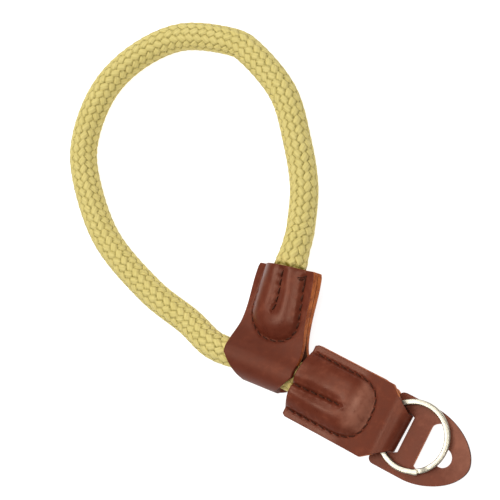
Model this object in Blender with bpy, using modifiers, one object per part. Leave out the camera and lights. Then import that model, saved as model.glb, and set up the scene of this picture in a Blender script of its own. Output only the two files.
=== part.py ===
"""Camera wrist strap: a rope loop, two folded leather ends, a split ring and a leather pad.

Metres, +Z up. The strap lies on the plane z = 0 with its ring end towards -Y. It is laid out from the
middle of the camera end's rope mouth, and moved at the end so that the origin is under its middle.
Run with: blender --background --python part.py
"""

import math
from dataclasses import dataclass

import bmesh
import bpy
from mathutils import Matrix, Vector, geometry

# Stock that the strap is cut from
ROPE_DIAMETER = 0.0100
LEATHER_THICKNESS = 0.0020
PAD_THICKNESS = 0.0015
CLEARANCE = 0.0003

# Rope loop, measured from the slider's tunnel
LOOP_WIDTH = 0.0954
LOOP_REACH = 0.1077
PRESSED_WIDTH = 0.0168
PRESSED_THICKNESS = 0.0072

# Leather blanks: both strips are cut to one outline
STRIP_WIDTH = 0.0264
WAIST_WIDTH = 0.0134
WAIST_LENGTH = 0.0048
CHAMFER_LENGTH = 0.0088
CORNER_RADIUS = 0.0013
LAYER_GAP = 0.0003
GROOVE_DEPTH = 0.0016
GROOVE_WIDTH = 0.0044
PRESS_LENGTH = 0.0120
PRESS_LEAD = 0.0015

# Camera end
CAMERA_END_LENGTH = 0.0346
CAMERA_SEAM_TO_FOLD = 0.0070
CAMERA_POCKET_WIDTH = 0.0208
CAMERA_POCKET_POWER = 2.6
CAMERA_GROOVE_LENGTH = 0.0180
FOLD_OPEN_LENGTH = 0.0030

# Slider: the tunnel of its fold sits on the rope's limb, this far from the camera end
SLIDER_LENGTH = 0.0331
SLIDER_SEAM_TO_FOLD = 0.0091
SLIDER_POCKET_WIDTH = 0.0192
SLIDER_GROOVE_LENGTH = 0.0150
SLIDER_OFFSET = 0.0141
TUNNEL_ANGLE = math.radians(6.0)
SLIDER_ANGLE = math.radians(13.2)
SLIDER_TWIST = math.radians(22.0)
SLIDER_POCKET_POWER = 2.1
SLIDER_DRAWN_IN = 0.0012

# Split ring
RING_DIAMETER = 0.0250
WIRE_WIDTH = 0.0015
WIRE_HEIGHT = 0.00085
COIL_GAP = 0.0001
RING_SPLIT_ANGLE = math.radians(-132.0)
RING_TIP_ANGLE = math.radians(10.0)

# Ring pad
PAD_WIDTH = 0.0258
PAD_LENGTH = 0.0315
PAD_STRAIGHT = 0.0130
PAD_CORNER = 0.0020
PAD_NOSE_POWER = 1.8
PAD_HELD = 0.0026
SLOT_WIDTH = 0.0049
BAR_WIDTH = 0.0066
EYELET_RADIUS = 0.0105
NOTCH_RADIUS = 0.0033
NOTCH_OFFSET = 0.0194
NOTCH_ACROSS = -0.0010
PAD_ACROSS = -0.0001
RING_OFFSET = 0.00875
RING_ACROSS = 0.00085

# The loop's chosen points, as shares of the loop's width and reach, from the tunnel's middle: the way from
# the slider's mouth round to the tunnel's far mouth
LOOP_POINTS = [
    # (across, along)
    (0.498, 0.112),
    (0.632, 0.164),
    (0.768, 0.256),
    (0.906, 0.378),
    (0.989, 0.542),
    (0.999, 0.643),
    (0.938, 0.816),
    (0.800, 0.937),
    (0.632, 0.996),
    (0.440, 0.981),
    (0.297, 0.905),
    (0.134, 0.732),
    (0.040, 0.503),
    (0.007, 0.325),
]
ROPE_SIDES_RESOLUTION = 4
ROPE_FREE_STATIONS = 42
ROPE_POCKET_STATIONS = 12

ROPE_COLOUR = (0.66, 0.57, 0.22, 1.0)
LEATHER_COLOUR = (0.16, 0.042, 0.024, 1.0)
METAL_COLOUR = (0.80, 0.76, 0.66, 1.0)


def ease(share):
    """Return a smooth step from 0 to 1 as share goes from 0 to 1."""
    share = min(max(share, 0.0), 1.0)
    return share * share * (3.0 - 2.0 * share)


@dataclass
class FoldedStrip:
    """A leather strip folded in two: a rope mouth, a stitched pocket, and a rounded fold.

    A point of it is (a, w, h): a along the strip from the rope mouth to the fold's axis, w across it,
    and h up from the middle between its two layers.
    """

    length: float
    fold_radius: float
    pocket_length: float
    pocket_width: float
    pocket_power: float
    groove_length: float
    heights: list
    fold_point: Vector
    angle: float
    twist: float = 0.0
    skew: float = 0.0
    open_length: float = 0.0
    drawn_in: float = 0.0

    def middle_height(self, a):
        """Return the height over the ground of the middle between the layers."""
        for (a0, z0), (a1, z1) in zip(self.heights, self.heights[1:]):
            if a <= a1:
                return z0 + (z1 - z0) * ease((a - a0) / (a1 - a0))
        return self.heights[-1][1]

    def roll(self, a):
        """Return the turn about the strip's length at a."""
        return self.twist * max(0.0, 1.0 - max(a, 0.0) / (self.length - self.fold_radius))

    def frame(self, a):
        """Return the matrix that places the section at a in the world."""
        along = Matrix.Rotation(self.angle, 4, "Z") @ Vector((self.length - a, 0.0, 0.0))
        origin = self.fold_point + along
        origin.z = self.middle_height(a)
        turn = Matrix.Rotation(self.angle, 4, "Z") @ Matrix.Rotation(-self.roll(a), 4, "X")
        return Matrix.Translation(origin) @ turn

    def place(self, a, w, h, out=0.0):
        """Return the world point of (a, w, h), or of one that lies out past the fold's axis."""
        shear = math.tan(self.skew) * w * ease(a / self.pocket_length)
        return self.frame(a) @ Vector((shear - out, w, h))

    def pressing(self, a):
        """Return how far the rope is pressed at a, from 0, round, just outside the mouth, to 1."""
        return ease((a + PRESS_LEAD) / PRESS_LENGTH)

    def fold_opening(self, a):
        """Return half the space that the fold leaves at a: two equal arcs from the seam to its full height."""
        run = self.length - self.pocket_length - self.open_length
        rise = self.fold_radius - LAYER_GAP / 2.0
        bend = (run**2 + rise**2) / (4.0 * rise)
        along = min(max(a - self.pocket_length, 0.0), run)
        if along < run / 2.0:
            return LAYER_GAP / 2.0 + bend - math.sqrt(bend**2 - along**2)
        return self.fold_radius - bend + math.sqrt(bend**2 - (run - along) ** 2)

    def pocket(self, a, w):
        """Return half the space between the layers at (a, w), away from the rounded fold."""
        half = self.pocket_width / 2.0
        past = max(0.0, a - self.pocket_length + half)
        power = self.pocket_power
        reach = ((abs(w) / half) ** power + (past / half) ** power) ** (1.0 / power)
        dome = max(0.0, 1.0 - reach ** (2.2 + 1.2 * self.pressing(a)))
        thickness = ROPE_DIAMETER + (PRESSED_THICKNESS - ROPE_DIAMETER) * self.pressing(a)
        room = thickness / 2.0 + CLEARANCE - LAYER_GAP / 2.0
        groove_start = ease((a + PRESS_LEAD) / PRESS_LEAD)
        groove_end = ease((self.groove_length - a) / (0.5 * self.groove_length))
        groove = GROOVE_DEPTH * math.exp(-((2.0 * w / GROOVE_WIDTH) ** 2)) * groove_start * groove_end
        return max(LAYER_GAP / 2.0 + dome * (room - groove), self.fold_opening(a))

    def half_width(self, a, turned=0.0):
        """Return half the strip's width at a, or on the fold, turned round it from the flat layer."""
        outer = self.fold_radius + LEATHER_THICKNESS
        from_fold = (math.pi / 2.0 - turned) * outer + self.length - a
        share = (abs(from_fold) - WAIST_LENGTH / 2.0) / CHAMFER_LENGTH
        width = WAIST_WIDTH + (STRIP_WIDTH - WAIST_WIDTH) * min(max(share, 0.0), 1.0)
        corner = max(0.0, CORNER_RADIUS - a)
        drawn = self.drawn_in * math.sin(math.pi * a / self.length) ** 2
        return width / 2.0 - drawn - CORNER_RADIUS + math.sqrt(CORNER_RADIUS**2 - corner**2)

    def inner_point(self, path, across):
        """Return a world point of the inner surface.

        path runs from -1, the lower layer's mouth edge, over 0, the fold, to 1, the upper layer's mouth
        edge, and across from -1 to 1.
        """
        side = 1.0 if path > 0.0 else -1.0
        share = abs(path)
        if share < FOLD_SHARE:
            turned = math.pi / 2.0 * (1.0 - share / FOLD_SHARE)
            w = self.half_width(self.length, turned) * across
            out = self.fold_radius * math.sin(turned)
            up = side * self.fold_radius * math.cos(turned)
            return self.place(self.length, w, up, out)
        along = (share - FOLD_SHARE) / (1.0 - FOLD_SHARE)
        a = self.length * (1.0 - along)
        w = self.half_width(a) * across
        return self.place(a, w, side * self.pocket(a, w))


# Share of a strip's rows that lie on its rounded fold
FOLD_SHARE = 0.26

CAMERA_POCKET_LENGTH = CAMERA_END_LENGTH - CAMERA_SEAM_TO_FOLD
SLIDER_POCKET_LENGTH = SLIDER_LENGTH - SLIDER_SEAM_TO_FOLD

FOLD_OUTER_HEIGHT = ROPE_DIAMETER / 2.0 + CLEARANCE + LEATHER_THICKNESS
HUMP_HEIGHT = PRESSED_THICKNESS / 2.0 + CLEARANCE + LEATHER_THICKNESS
RING_HEIGHT = 2.0 * WIRE_HEIGHT + COIL_GAP
RING_FOLD_RADIUS = (PAD_THICKNESS + RING_HEIGHT + 5.0 * CLEARANCE) / 2.0
RING_FOLD_HEIGHT = RING_FOLD_RADIUS + LEATHER_THICKNESS
SLOT_EDGE = -(RING_FOLD_HEIGHT + 4.0 * CLEARANCE)

CAMERA_STRIP = FoldedStrip(
    length=CAMERA_END_LENGTH,
    fold_radius=RING_FOLD_RADIUS,
    pocket_length=CAMERA_POCKET_LENGTH,
    pocket_width=CAMERA_POCKET_WIDTH,
    pocket_power=CAMERA_POCKET_POWER,
    groove_length=CAMERA_GROOVE_LENGTH,
    heights=[
        (0.0, FOLD_OUTER_HEIGHT),
        (0.6 * CAMERA_POCKET_LENGTH, HUMP_HEIGHT + CLEARANCE),
        (CAMERA_POCKET_LENGTH, HUMP_HEIGHT - 2.0 * CLEARANCE),
        (CAMERA_END_LENGTH - FOLD_OPEN_LENGTH, RING_FOLD_HEIGHT),
    ],
    fold_point=Vector((0.0, -CAMERA_END_LENGTH, 0.0)),
    angle=math.radians(90.0),
    open_length=FOLD_OPEN_LENGTH,
)

SLIDER_STRIP = FoldedStrip(
    length=SLIDER_LENGTH,
    fold_radius=ROPE_DIAMETER / 2.0 + CLEARANCE,
    pocket_length=SLIDER_POCKET_LENGTH,
    pocket_width=SLIDER_POCKET_WIDTH,
    pocket_power=SLIDER_POCKET_POWER,
    groove_length=SLIDER_GROOVE_LENGTH,
    heights=[(0.0, FOLD_OUTER_HEIGHT + CLEARANCE), (SLIDER_LENGTH, FOLD_OUTER_HEIGHT)],
    fold_point=SLIDER_OFFSET * Vector((-math.sin(TUNNEL_ANGLE), math.cos(TUNNEL_ANGLE), 0.0)),
    angle=SLIDER_ANGLE,
    twist=SLIDER_TWIST,
    skew=SLIDER_ANGLE - TUNNEL_ANGLE,
    drawn_in=SLIDER_DRAWN_IN,
)


def new_collection(name):
    """Return a new collection in the scene."""
    collection = bpy.data.collections.new(name)
    bpy.context.scene.collection.children.link(collection)
    return collection


def material(name, colour, roughness, metallic):
    """Return a Principled material."""
    made = bpy.data.materials.new(name)
    made.use_nodes = True
    shader = made.node_tree.nodes["Principled BSDF"]
    shader.inputs["Base Color"].default_value = colour
    shader.inputs["Roughness"].default_value = roughness
    shader.inputs["Metallic"].default_value = metallic
    return made


def add_object(name, data, collection, finish=None):
    """Return a new object with this data, in the collection."""
    made = bpy.data.objects.new(name, data)
    collection.objects.link(made)
    if finish is not None:
        data.materials.append(finish)
    return made


def curve_to_mesh(curve_object, name, collection, finish):
    """Replace a curve object by a welded mesh object of its shape."""
    bpy.context.view_layer.update()
    evaluated = curve_object.evaluated_get(bpy.context.evaluated_depsgraph_get())
    mesh = bpy.data.meshes.new_from_object(evaluated)
    mesh.name = name
    mesh.materials.clear()
    build = bmesh.new()
    build.from_mesh(mesh)
    bmesh.ops.remove_doubles(build, verts=build.verts, dist=0.00001)
    bmesh.ops.recalc_face_normals(build, faces=build.faces)
    build.to_mesh(mesh)
    build.free()
    made = add_object(name, mesh, collection, finish)
    made.matrix_world = curve_object.matrix_world
    bpy.data.objects.remove(curve_object)
    return made


def smooth(made, angle_degrees):
    """Shade an object smooth, with sharp edges over the angle."""
    made.data.shade_smooth()
    made.data.set_sharp_from_angle(angle=math.radians(angle_degrees))


def tunnel_point(along):
    """Return a point of the rope's centre line, this far along the slider's tunnel from its middle."""
    return SLIDER_STRIP.place(SLIDER_LENGTH, along, 0.0)


def rope_knots():
    """Return the rope's centre line as a short list of points, from the slider's pocket to the camera end's."""
    radius = ROPE_DIAMETER / 2.0
    tunnel = SLIDER_STRIP.fold_point
    mouth = SLIDER_STRIP.place(0.0, 0.0, 0.0)
    heading = (mouth - SLIDER_STRIP.place(SLIDER_LENGTH, 0.0, 0.0)).normalized()
    loop = [
        Vector((tunnel.x + across * LOOP_WIDTH, tunnel.y + along * LOOP_REACH, radius))
        for across, along in LOOP_POINTS
    ]
    inside = [SLIDER_STRIP.place(a, 0.0, 0.0) for a in (0.4 * SLIDER_LENGTH, 0.2 * SLIDER_LENGTH)]
    sag = Vector((0.0, 0.0, 0.35 * (radius - mouth.z)))
    leaving = [mouth, mouth + 0.8 * ROPE_DIAMETER * heading + sag]
    half_tunnel = STRIP_WIDTH / 2.0
    threaded = [tunnel_point(share * half_tunnel) for share in (1.6, 0.75, 0.0, -0.7)]
    entering = [CAMERA_STRIP.place(a, 0.0, 0.0) for a in (0.0, 0.2 * CAMERA_END_LENGTH, 0.4 * CAMERA_END_LENGTH)]
    return inside + leaving + loop + threaded + entering


def sampled(points, count):
    """Return count points at even steps along the smooth curve through the points."""
    fine = []
    padded = [2.0 * points[0] - points[1]] + points + [2.0 * points[-1] - points[-2]]
    for before, start, end, after in zip(padded, padded[1:], padded[2:], padded[3:]):
        first = start + (end - before) / 6.0
        second = end - (after - start) / 6.0
        fine += geometry.interpolate_bezier(start, first, second, end, 13)[:-1]
    fine.append(points[-1])
    steps = [0.0]
    for start, end in zip(fine, fine[1:]):
        steps.append(steps[-1] + (end - start).length)
    result = []
    index = 0
    for k in range(count):
        target = steps[-1] * k / (count - 1)
        while index < len(steps) - 2 and steps[index + 1] < target:
            index += 1
        share = (target - steps[index]) / (steps[index + 1] - steps[index])
        result.append(fine[index].lerp(fine[index + 1], share))
    return result


def rope_end(strip):
    """Return how far into the strip's pocket the rope's end lies."""
    return strip.pocket_length - 0.1 * strip.pocket_width


def pocket_stations(strip):
    """Return how far into the strip's pocket the rope's centre line points lie."""
    end = rope_end(strip)
    return [end * k / ROPE_POCKET_STATIONS for k in range(1, ROPE_POCKET_STATIONS)] + [0.975 * end, end]


def rope_centre_line():
    """Return the rope's centre line: the slider's pocket, the loop, the tunnel, the camera end's pocket."""
    knots = rope_knots()
    free = sampled(knots[2:-2], ROPE_FREE_STATIONS)
    for place in free:
        place.z = max(place.z, ROPE_DIAMETER / 2.0)
    slider_part = [SLIDER_STRIP.place(a, 0.0, 0.0) for a in reversed(pocket_stations(SLIDER_STRIP))]
    camera_part = [CAMERA_STRIP.place(a, 0.0, 0.0) for a in pocket_stations(CAMERA_STRIP)]
    return slider_part + free + camera_part


def pressed(strip, point):
    """Return a round rope's surface point as the stitched pocket presses it."""
    along = Matrix.Rotation(-strip.angle, 4, "Z") @ (point - strip.fold_point)
    a = strip.length - along.x
    end = rope_end(strip)
    if a < -PRESS_LEAD or a > end + 4.0 * CLEARANCE or abs(along.y) > ROPE_DIAMETER:
        return point
    a = min(a, end)
    local = strip.frame(strip.length - along.x).inverted() @ point
    widened = 1.0 + strip.pressing(a) * (PRESSED_WIDTH / ROPE_DIAMETER - 1.0)
    tail = ease((end + CLEARANCE - a) / (0.12 * strip.pocket_length))
    w = local.y * widened * (0.6 + 0.4 * tail)
    room = min(strip.pocket(a, share * w) for share in (0.3, 0.65, 1.0)) - CLEARANCE
    return strip.place(a, w, min(max(local.z, -room), room))


def build_rope(collection, finish):
    """Make the rope: a tube along its centre line, with both ends pressed flat in their pockets."""
    curve = bpy.data.curves.new("rope_line", "CURVE")
    curve.dimensions = "3D"
    curve.bevel_depth = ROPE_DIAMETER / 2.0
    curve.bevel_resolution = ROPE_SIDES_RESOLUTION
    curve.use_fill_caps = True
    line = rope_centre_line()
    spline = curve.splines.new("POLY")
    spline.points.add(len(line) - 1)
    for spline_point, place in zip(spline.points, line):
        spline_point.co = (*place, 1.0)
    tube = add_object("rope_line", curve, collection)
    rope = curve_to_mesh(tube, "rope", collection, finish)
    for vertex in rope.data.vertices:
        for strip in (SLIDER_STRIP, CAMERA_STRIP):
            vertex.co = pressed(strip, vertex.co)
    smooth(rope, 50.0)
    return rope


def build_strip(name, strip, collection, finish):
    """Make a folded strip: its inner surface, which Solidify thickens outwards."""
    rows = 54
    columns = 16
    build = bmesh.new()
    bmesh.ops.create_grid(build, x_segments=rows, y_segments=columns, size=1.0)
    for vertex in build.verts:
        vertex.co = strip.inner_point(vertex.co.x, vertex.co.y)
    mesh = bpy.data.meshes.new(name)
    build.to_mesh(mesh)
    build.free()
    made = add_object(name, mesh, collection, finish)
    wall = made.modifiers.new("wall", "SOLIDIFY")
    wall.thickness = LEATHER_THICKNESS
    wall.offset = 1.0
    wall.use_even_offset = True
    smooth(made, 40.0)
    return made


def pad_frame():
    """Return the matrix of the pad: its upper face's plane, x across and y along, from the fold's axis.

    The pad's held edge rests on the strip's lower layer, and its nose on the ground.
    """
    held = LEATHER_THICKNESS + CLEARANCE
    slope = math.asin(held / (PAD_LENGTH - PAD_HELD))
    lift = Matrix.Translation((PAD_ACROSS, -CAMERA_END_LENGTH, held))
    return lift @ Matrix.Rotation(slope, 4, "X") @ Matrix.Translation((0.0, 0.0, PAD_THICKNESS))


def pad_outline():
    """Return the pad's outline, anticlockwise from the middle of its nose."""
    half = PAD_WIDTH / 2.0
    shoulder = PAD_HELD - PAD_STRAIGHT
    nose = PAD_LENGTH - PAD_STRAIGHT
    corner = []
    for k in range(6):
        turn = math.radians(18.0 * k)
        x = half - PAD_CORNER + PAD_CORNER * math.cos(turn)
        corner.append((x, PAD_HELD - PAD_CORNER + PAD_CORNER * math.sin(turn)))
    count = 26
    right = []
    for k in range(count + 1):
        turn = math.pi / 2.0 * k / count
        x = half * max(0.0, math.cos(turn)) ** (2.0 / PAD_NOSE_POWER)
        y = shoulder - nose * math.sin(turn) ** (2.0 / PAD_NOSE_POWER)
        right.append((x, y))
    half_outline = [(x, y) for x, y in reversed(right)] + corner
    return half_outline + [(-x, y) for x, y in reversed(half_outline) if x > 1e-6]


def slot_outline():
    """Return the slot that the strip's fold passes through, wider where the strip comes in."""
    narrow = WAIST_WIDTH / 2.0 + CLEARANCE
    wide = narrow + 0.2 * CHAMFER_LENGTH
    outer = SLOT_EDGE
    inner = SLOT_EDGE + SLOT_WIDTH
    corners = [(-narrow, outer), (narrow, outer), (wide, inner), (-wide, inner)]
    return [(x - PAD_ACROSS, y) for x, y in corners]


def eyelet_outline():
    """Return the D-shaped eyelet hole about the ring's middle, with its round notch."""
    chord = SLOT_EDGE - BAR_WIDTH
    across = RING_ACROSS - PAD_ACROSS
    start = math.asin((-RING_OFFSET - chord) / EYELET_RADIUS) + math.radians(9.0)
    corner = 0.87 * math.sqrt(EYELET_RADIUS**2 - (RING_OFFSET + chord) ** 2)
    outline = [(across - corner, chord)]
    steps = 44
    for k in range(steps + 1):
        turn = -math.pi + start + (math.pi - 2.0 * start) * k / steps
        arc = Vector((across + EYELET_RADIUS * math.cos(turn), EYELET_RADIUS * math.sin(turn) - RING_OFFSET))
        outline.append(notched(arc, Vector((across, -RING_OFFSET))))
    outline.append((across + corner, chord))
    return outline


def notched(arc, middle):
    """Return a point of the eyelet hole's arc, moved out to the notch's circle where that lies further."""
    notch = Vector((NOTCH_ACROSS - PAD_ACROSS, -NOTCH_OFFSET))
    way = (arc - middle).normalized()
    reach = (notch - middle).dot(way)
    aside = (notch - middle).length_squared - reach**2
    if aside < NOTCH_RADIUS**2 and reach > 0.0:
        arc = middle + max(EYELET_RADIUS, reach + math.sqrt(NOTCH_RADIUS**2 - aside)) * way
    return tuple(arc)


def build_pad(collection, finish):
    """Make the pad: one flat plate with its two holes."""
    curve = bpy.data.curves.new("pad_line", "CURVE")
    curve.dimensions = "2D"
    curve.fill_mode = "BOTH"
    curve.extrude = PAD_THICKNESS / 2.0
    for outline in (pad_outline(), slot_outline(), eyelet_outline()):
        spline = curve.splines.new("POLY")
        spline.points.add(len(outline) - 1)
        for spline_point, (x, y) in zip(spline.points, outline):
            spline_point.co = (x, y, 0.0, 1.0)
        spline.use_cyclic_u = True
    plate = add_object("pad_line", curve, collection)
    plate.matrix_world = pad_frame() @ Matrix.Translation((0.0, 0.0, -PAD_THICKNESS / 2.0))
    pad = curve_to_mesh(plate, "ring_pad", collection, finish)
    smooth(pad, 40.0)
    return pad


def coil_height(turn):
    """Return the wire's height in the ring at an angle from the lower coil's tip, over two turns."""
    start = 2.0 * math.pi - 2.0 * RING_TIP_ANGLE
    rise = ease((turn - start) / (1.6 * RING_TIP_ANGLE))
    return (rise - 0.5) * (WIRE_HEIGHT + COIL_GAP)


def build_ring(collection, finish):
    """Make the split ring: flat wire in two turns, crossing from the lower coil to the upper one."""
    profile = bpy.data.curves.new("wire_profile", "CURVE")
    profile.dimensions = "2D"
    section = profile.splines.new("POLY")
    chamfer = 0.25 * WIRE_HEIGHT
    half_w = WIRE_WIDTH / 2.0
    half_h = WIRE_HEIGHT / 2.0
    corners = [
        (half_w, -half_h + chamfer),
        (half_w, half_h - chamfer),
        (half_w - chamfer, half_h),
        (-half_w + chamfer, half_h),
        (-half_w, half_h - chamfer),
        (-half_w, -half_h + chamfer),
        (-half_w + chamfer, -half_h),
        (half_w - chamfer, -half_h),
    ]
    section.points.add(len(corners) - 1)
    for section_point, (x, y) in zip(section.points, corners):
        section_point.co = (x, y, 0.0, 1.0)
    section.use_cyclic_u = True
    profile_object = add_object("wire_profile", profile, collection)

    curve = bpy.data.curves.new("ring_line", "CURVE")
    curve.dimensions = "3D"
    curve.bevel_mode = "OBJECT"
    curve.bevel_object = profile_object
    curve.use_fill_caps = True
    curve.twist_mode = "Z_UP"
    radius = (RING_DIAMETER - WIRE_WIDTH) / 2.0
    swept = 4.0 * math.pi - 2.0 * RING_TIP_ANGLE
    steps = 100
    spline = curve.splines.new("POLY")
    spline.points.add(steps)
    first_tip = RING_SPLIT_ANGLE + RING_TIP_ANGLE
    for k, spline_point in enumerate(spline.points):
        turn = swept * k / steps
        angle = first_tip + turn
        place = (radius * math.cos(angle), radius * math.sin(angle), coil_height(turn))
        spline_point.co = (*place, 1.0)
    line = add_object("ring_line", curve, collection)
    lift = CLEARANCE + RING_HEIGHT / 2.0
    middle = Vector((RING_ACROSS - PAD_ACROSS, -RING_OFFSET, lift))
    line.matrix_world = pad_frame() @ Matrix.Translation(middle)
    ring = curve_to_mesh(line, "split_ring", collection, finish)
    bpy.data.objects.remove(profile_object)
    smooth(ring, 35.0)
    return ring


def rest_on_origin(pieces):
    """Move all pieces together, so that the origin lies under the middle of their box."""
    bpy.context.view_layer.update()
    graph = bpy.context.evaluated_depsgraph_get()
    corners = []
    for piece in pieces:
        evaluated = piece.evaluated_get(graph)
        corners += [piece.matrix_world @ vertex.co for vertex in evaluated.data.vertices]
    low = Vector([min(corner[axis] for corner in corners) for axis in range(3)])
    high = Vector([max(corner[axis] for corner in corners) for axis in range(3)])
    shift = Vector((-(low.x + high.x) / 2.0, -(low.y + high.y) / 2.0, -low.z))
    for piece in pieces:
        piece.matrix_world = Matrix.Translation(shift) @ piece.matrix_world


def main():
    """Build the wrist strap."""
    for old in list(bpy.data.objects):
        bpy.data.objects.remove(old)
    strap = new_collection("wrist_strap")
    rope_finish = material("rope", ROPE_COLOUR, 0.85, 0.0)
    leather_finish = material("leather", LEATHER_COLOUR, 0.5, 0.0)
    pad_finish = material("pad_leather", LEATHER_COLOUR, 0.55, 0.0)
    metal_finish = material("ring_metal", METAL_COLOUR, 0.25, 1.0)
    pieces = [
        build_rope(strap, rope_finish),
        build_strip("slider_leather", SLIDER_STRIP, strap, leather_finish),
        build_strip("camera_end_leather", CAMERA_STRIP, strap, leather_finish),
        build_ring(strap, metal_finish),
        build_pad(strap, pad_finish),
    ]
    rest_on_origin(pieces)


main()
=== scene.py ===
"""Camera wrist strap: a braided cord loop in two folded leather ends, a split ring and a leather pad.

Metres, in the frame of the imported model. The strap lies on z = 0 with its ring end towards -Y.
"""

import logging
import math
from dataclasses import dataclass, field
from enum import Enum
from typing import Any

import bpy
import numpy as np
from mathutils import Matrix, Vector, geometry


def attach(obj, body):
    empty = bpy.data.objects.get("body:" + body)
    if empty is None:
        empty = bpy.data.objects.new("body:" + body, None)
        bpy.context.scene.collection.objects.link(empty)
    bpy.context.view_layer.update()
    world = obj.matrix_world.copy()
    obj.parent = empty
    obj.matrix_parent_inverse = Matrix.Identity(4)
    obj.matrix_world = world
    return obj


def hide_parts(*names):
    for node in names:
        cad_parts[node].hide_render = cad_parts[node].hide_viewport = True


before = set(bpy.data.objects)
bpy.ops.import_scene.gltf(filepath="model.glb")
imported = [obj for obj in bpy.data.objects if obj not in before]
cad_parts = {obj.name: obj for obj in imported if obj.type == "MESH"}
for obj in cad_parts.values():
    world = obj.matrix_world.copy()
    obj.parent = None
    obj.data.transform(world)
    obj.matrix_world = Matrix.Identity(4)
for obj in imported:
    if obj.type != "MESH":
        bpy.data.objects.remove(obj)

log = logging.getLogger("wrist_strap")

MM = 0.001
CLEARANCE = 0.3 * MM
DOUBLED = 0.001 * MM
# From the middle of the camera end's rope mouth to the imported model's origin
ORIGIN_SHIFT = np.array([-42.948, -31.533, 0.085]) * MM

Array = np.ndarray


class Layer(Enum):
    """A layer of a folded strip."""

    UPPER = 1
    LOWER = -1


class Hand(Enum):
    """The way that a yarn winds round the cord."""

    RIGHT = 1
    LEFT = -1


# Shader nodes


class Value:
    """A shader socket that takes part in arithmetic."""

    def __init__(self, graph: "Graph", socket: bpy.types.NodeSocket) -> None:
        """Keep the socket and the graph that it belongs to."""
        self.graph = graph
        self.socket = socket

    def math(self, operation: str, *others: Any) -> "Value":
        """Return a Math node of this value and others."""
        inputs = dict(enumerate((self, *others)))
        return self.graph.node("ShaderNodeMath", {"operation": operation}, inputs)

    def __add__(self, other: Any) -> "Value":
        """Return self + other."""
        return self.math("ADD", other)

    __radd__ = __add__

    def __sub__(self, other: Any) -> "Value":
        """Return self - other."""
        return self.math("SUBTRACT", other)

    def __rsub__(self, other: Any) -> "Value":
        """Return other - self."""
        return (self * -1.0) + other

    def __mul__(self, other: Any) -> "Value":
        """Return self * other."""
        return self.math("MULTIPLY", other)

    __rmul__ = __mul__

    def __truediv__(self, other: Any) -> "Value":
        """Return self / other."""
        return self.math("DIVIDE", other)

    def sine(self) -> "Value":
        """Return the sine of this value."""
        return self.math("SINE")

    def held(self) -> "Value":
        """Return this value, held between 0 and 1."""
        return self.graph.node("ShaderNodeClamp", {}, {"Value": self})

    def twin(self, number: int) -> "Value":
        """Return another output of the node that this value comes from."""
        return Value(self.graph, self.socket.node.outputs[number])


class Graph:
    """The node tree of one material."""

    def __init__(self, name: str) -> None:
        """Start an empty material.

        Args:
            name: The material's name.
        """
        self.material = bpy.data.materials.new(name)
        self.material.use_nodes = True
        self.tree = self.material.node_tree
        self.tree.nodes.clear()

    def node(
        self,
        kind: str,
        settings: dict[str, Any] | None = None,
        inputs: dict[Any, Any] | None = None,
        output: Any = 0,
    ) -> Value:
        """Add a node.

        Args:
            kind: The node's type.
            settings: What is set first, such as a Math node's operation.
            inputs: The values or links of its sockets, by name or number.
            output: The socket that is returned.

        Returns:
            The output, which can go into another node.
        """
        made = self.tree.nodes.new(kind)
        for name, setting in (settings or {}).items():
            setattr(made, name, setting)
        for name, value in (inputs or {}).items():
            if isinstance(value, Value):
                self.tree.links.new(value.socket, made.inputs[name])
            else:
                made.inputs[name].default_value = value
        return Value(self, made.outputs[output])

    def object_point(self) -> Value:
        """Return the point in the object's own coordinates."""
        return self.node("ShaderNodeTexCoord", output="Object")

    def noise(self, point: Value, size: float, detail: float = 2.0, roughness: float = 0.5) -> Value:
        """Return noise about 0.5, with features of this size, finer octaves and the strength of those."""
        inputs = {"Vector": point, "Scale": 1.0 / size, "Detail": detail, "Roughness": roughness}
        return self.node("ShaderNodeTexNoise", {}, inputs)

    def mix(self, share: Any, first: Any, second: Any) -> Value:
        """Return a colour between two: the first at share 0, the second at share 1."""
        settings = {"data_type": "RGBA", "clamp_factor": True}
        return self.node("ShaderNodeMix", settings, {0: share, 6: first, 7: second}, output=2)

    def bump(self, height: Value, distance: float, strength: float) -> Value:
        """Return the normal of a relief from 0 to 1, which is distance metres deep at full strength."""
        inputs = {"Height": height, "Distance": distance, "Strength": strength}
        return self.node("ShaderNodeBump", {}, inputs)

    def attribute(self, name: str) -> Value:
        """Return a number that the piece's mesh carries at its points."""
        return self.node("ShaderNodeAttribute", {"attribute_name": name}, output="Fac")

    def surface(self, **inputs: Any) -> bpy.types.Material:
        """Finish the material with a Principled shader.

        Args:
            inputs: The shader's sockets, with _ for a space.

        Returns:
            The material.
        """
        named = {name.replace("_", " "): value for name, value in inputs.items()}
        shader = self.node("ShaderNodeBsdfPrincipled", {}, named, output="BSDF")
        end = self.tree.nodes.new("ShaderNodeOutputMaterial")
        self.tree.links.new(shader.socket, end.inputs["Surface"])
        return self.material


def tone(red: float, green: float, blue: float) -> tuple[float, ...]:
    """Return a linear colour from one as it looks on a screen.

    Args:
        red: Red, from 0 to 255.
        green: Green, from 0 to 255.
        blue: Blue, from 0 to 255.

    Returns:
        The colour, with its alpha.
    """
    linear = []
    for part in (red, green, blue):
        share = part / 255.0
        linear.append(share / 12.92 if share < 0.04045 else ((share + 0.055) / 1.055) ** 2.4)
    return (*linear, 1.0)


# Finishes


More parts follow.
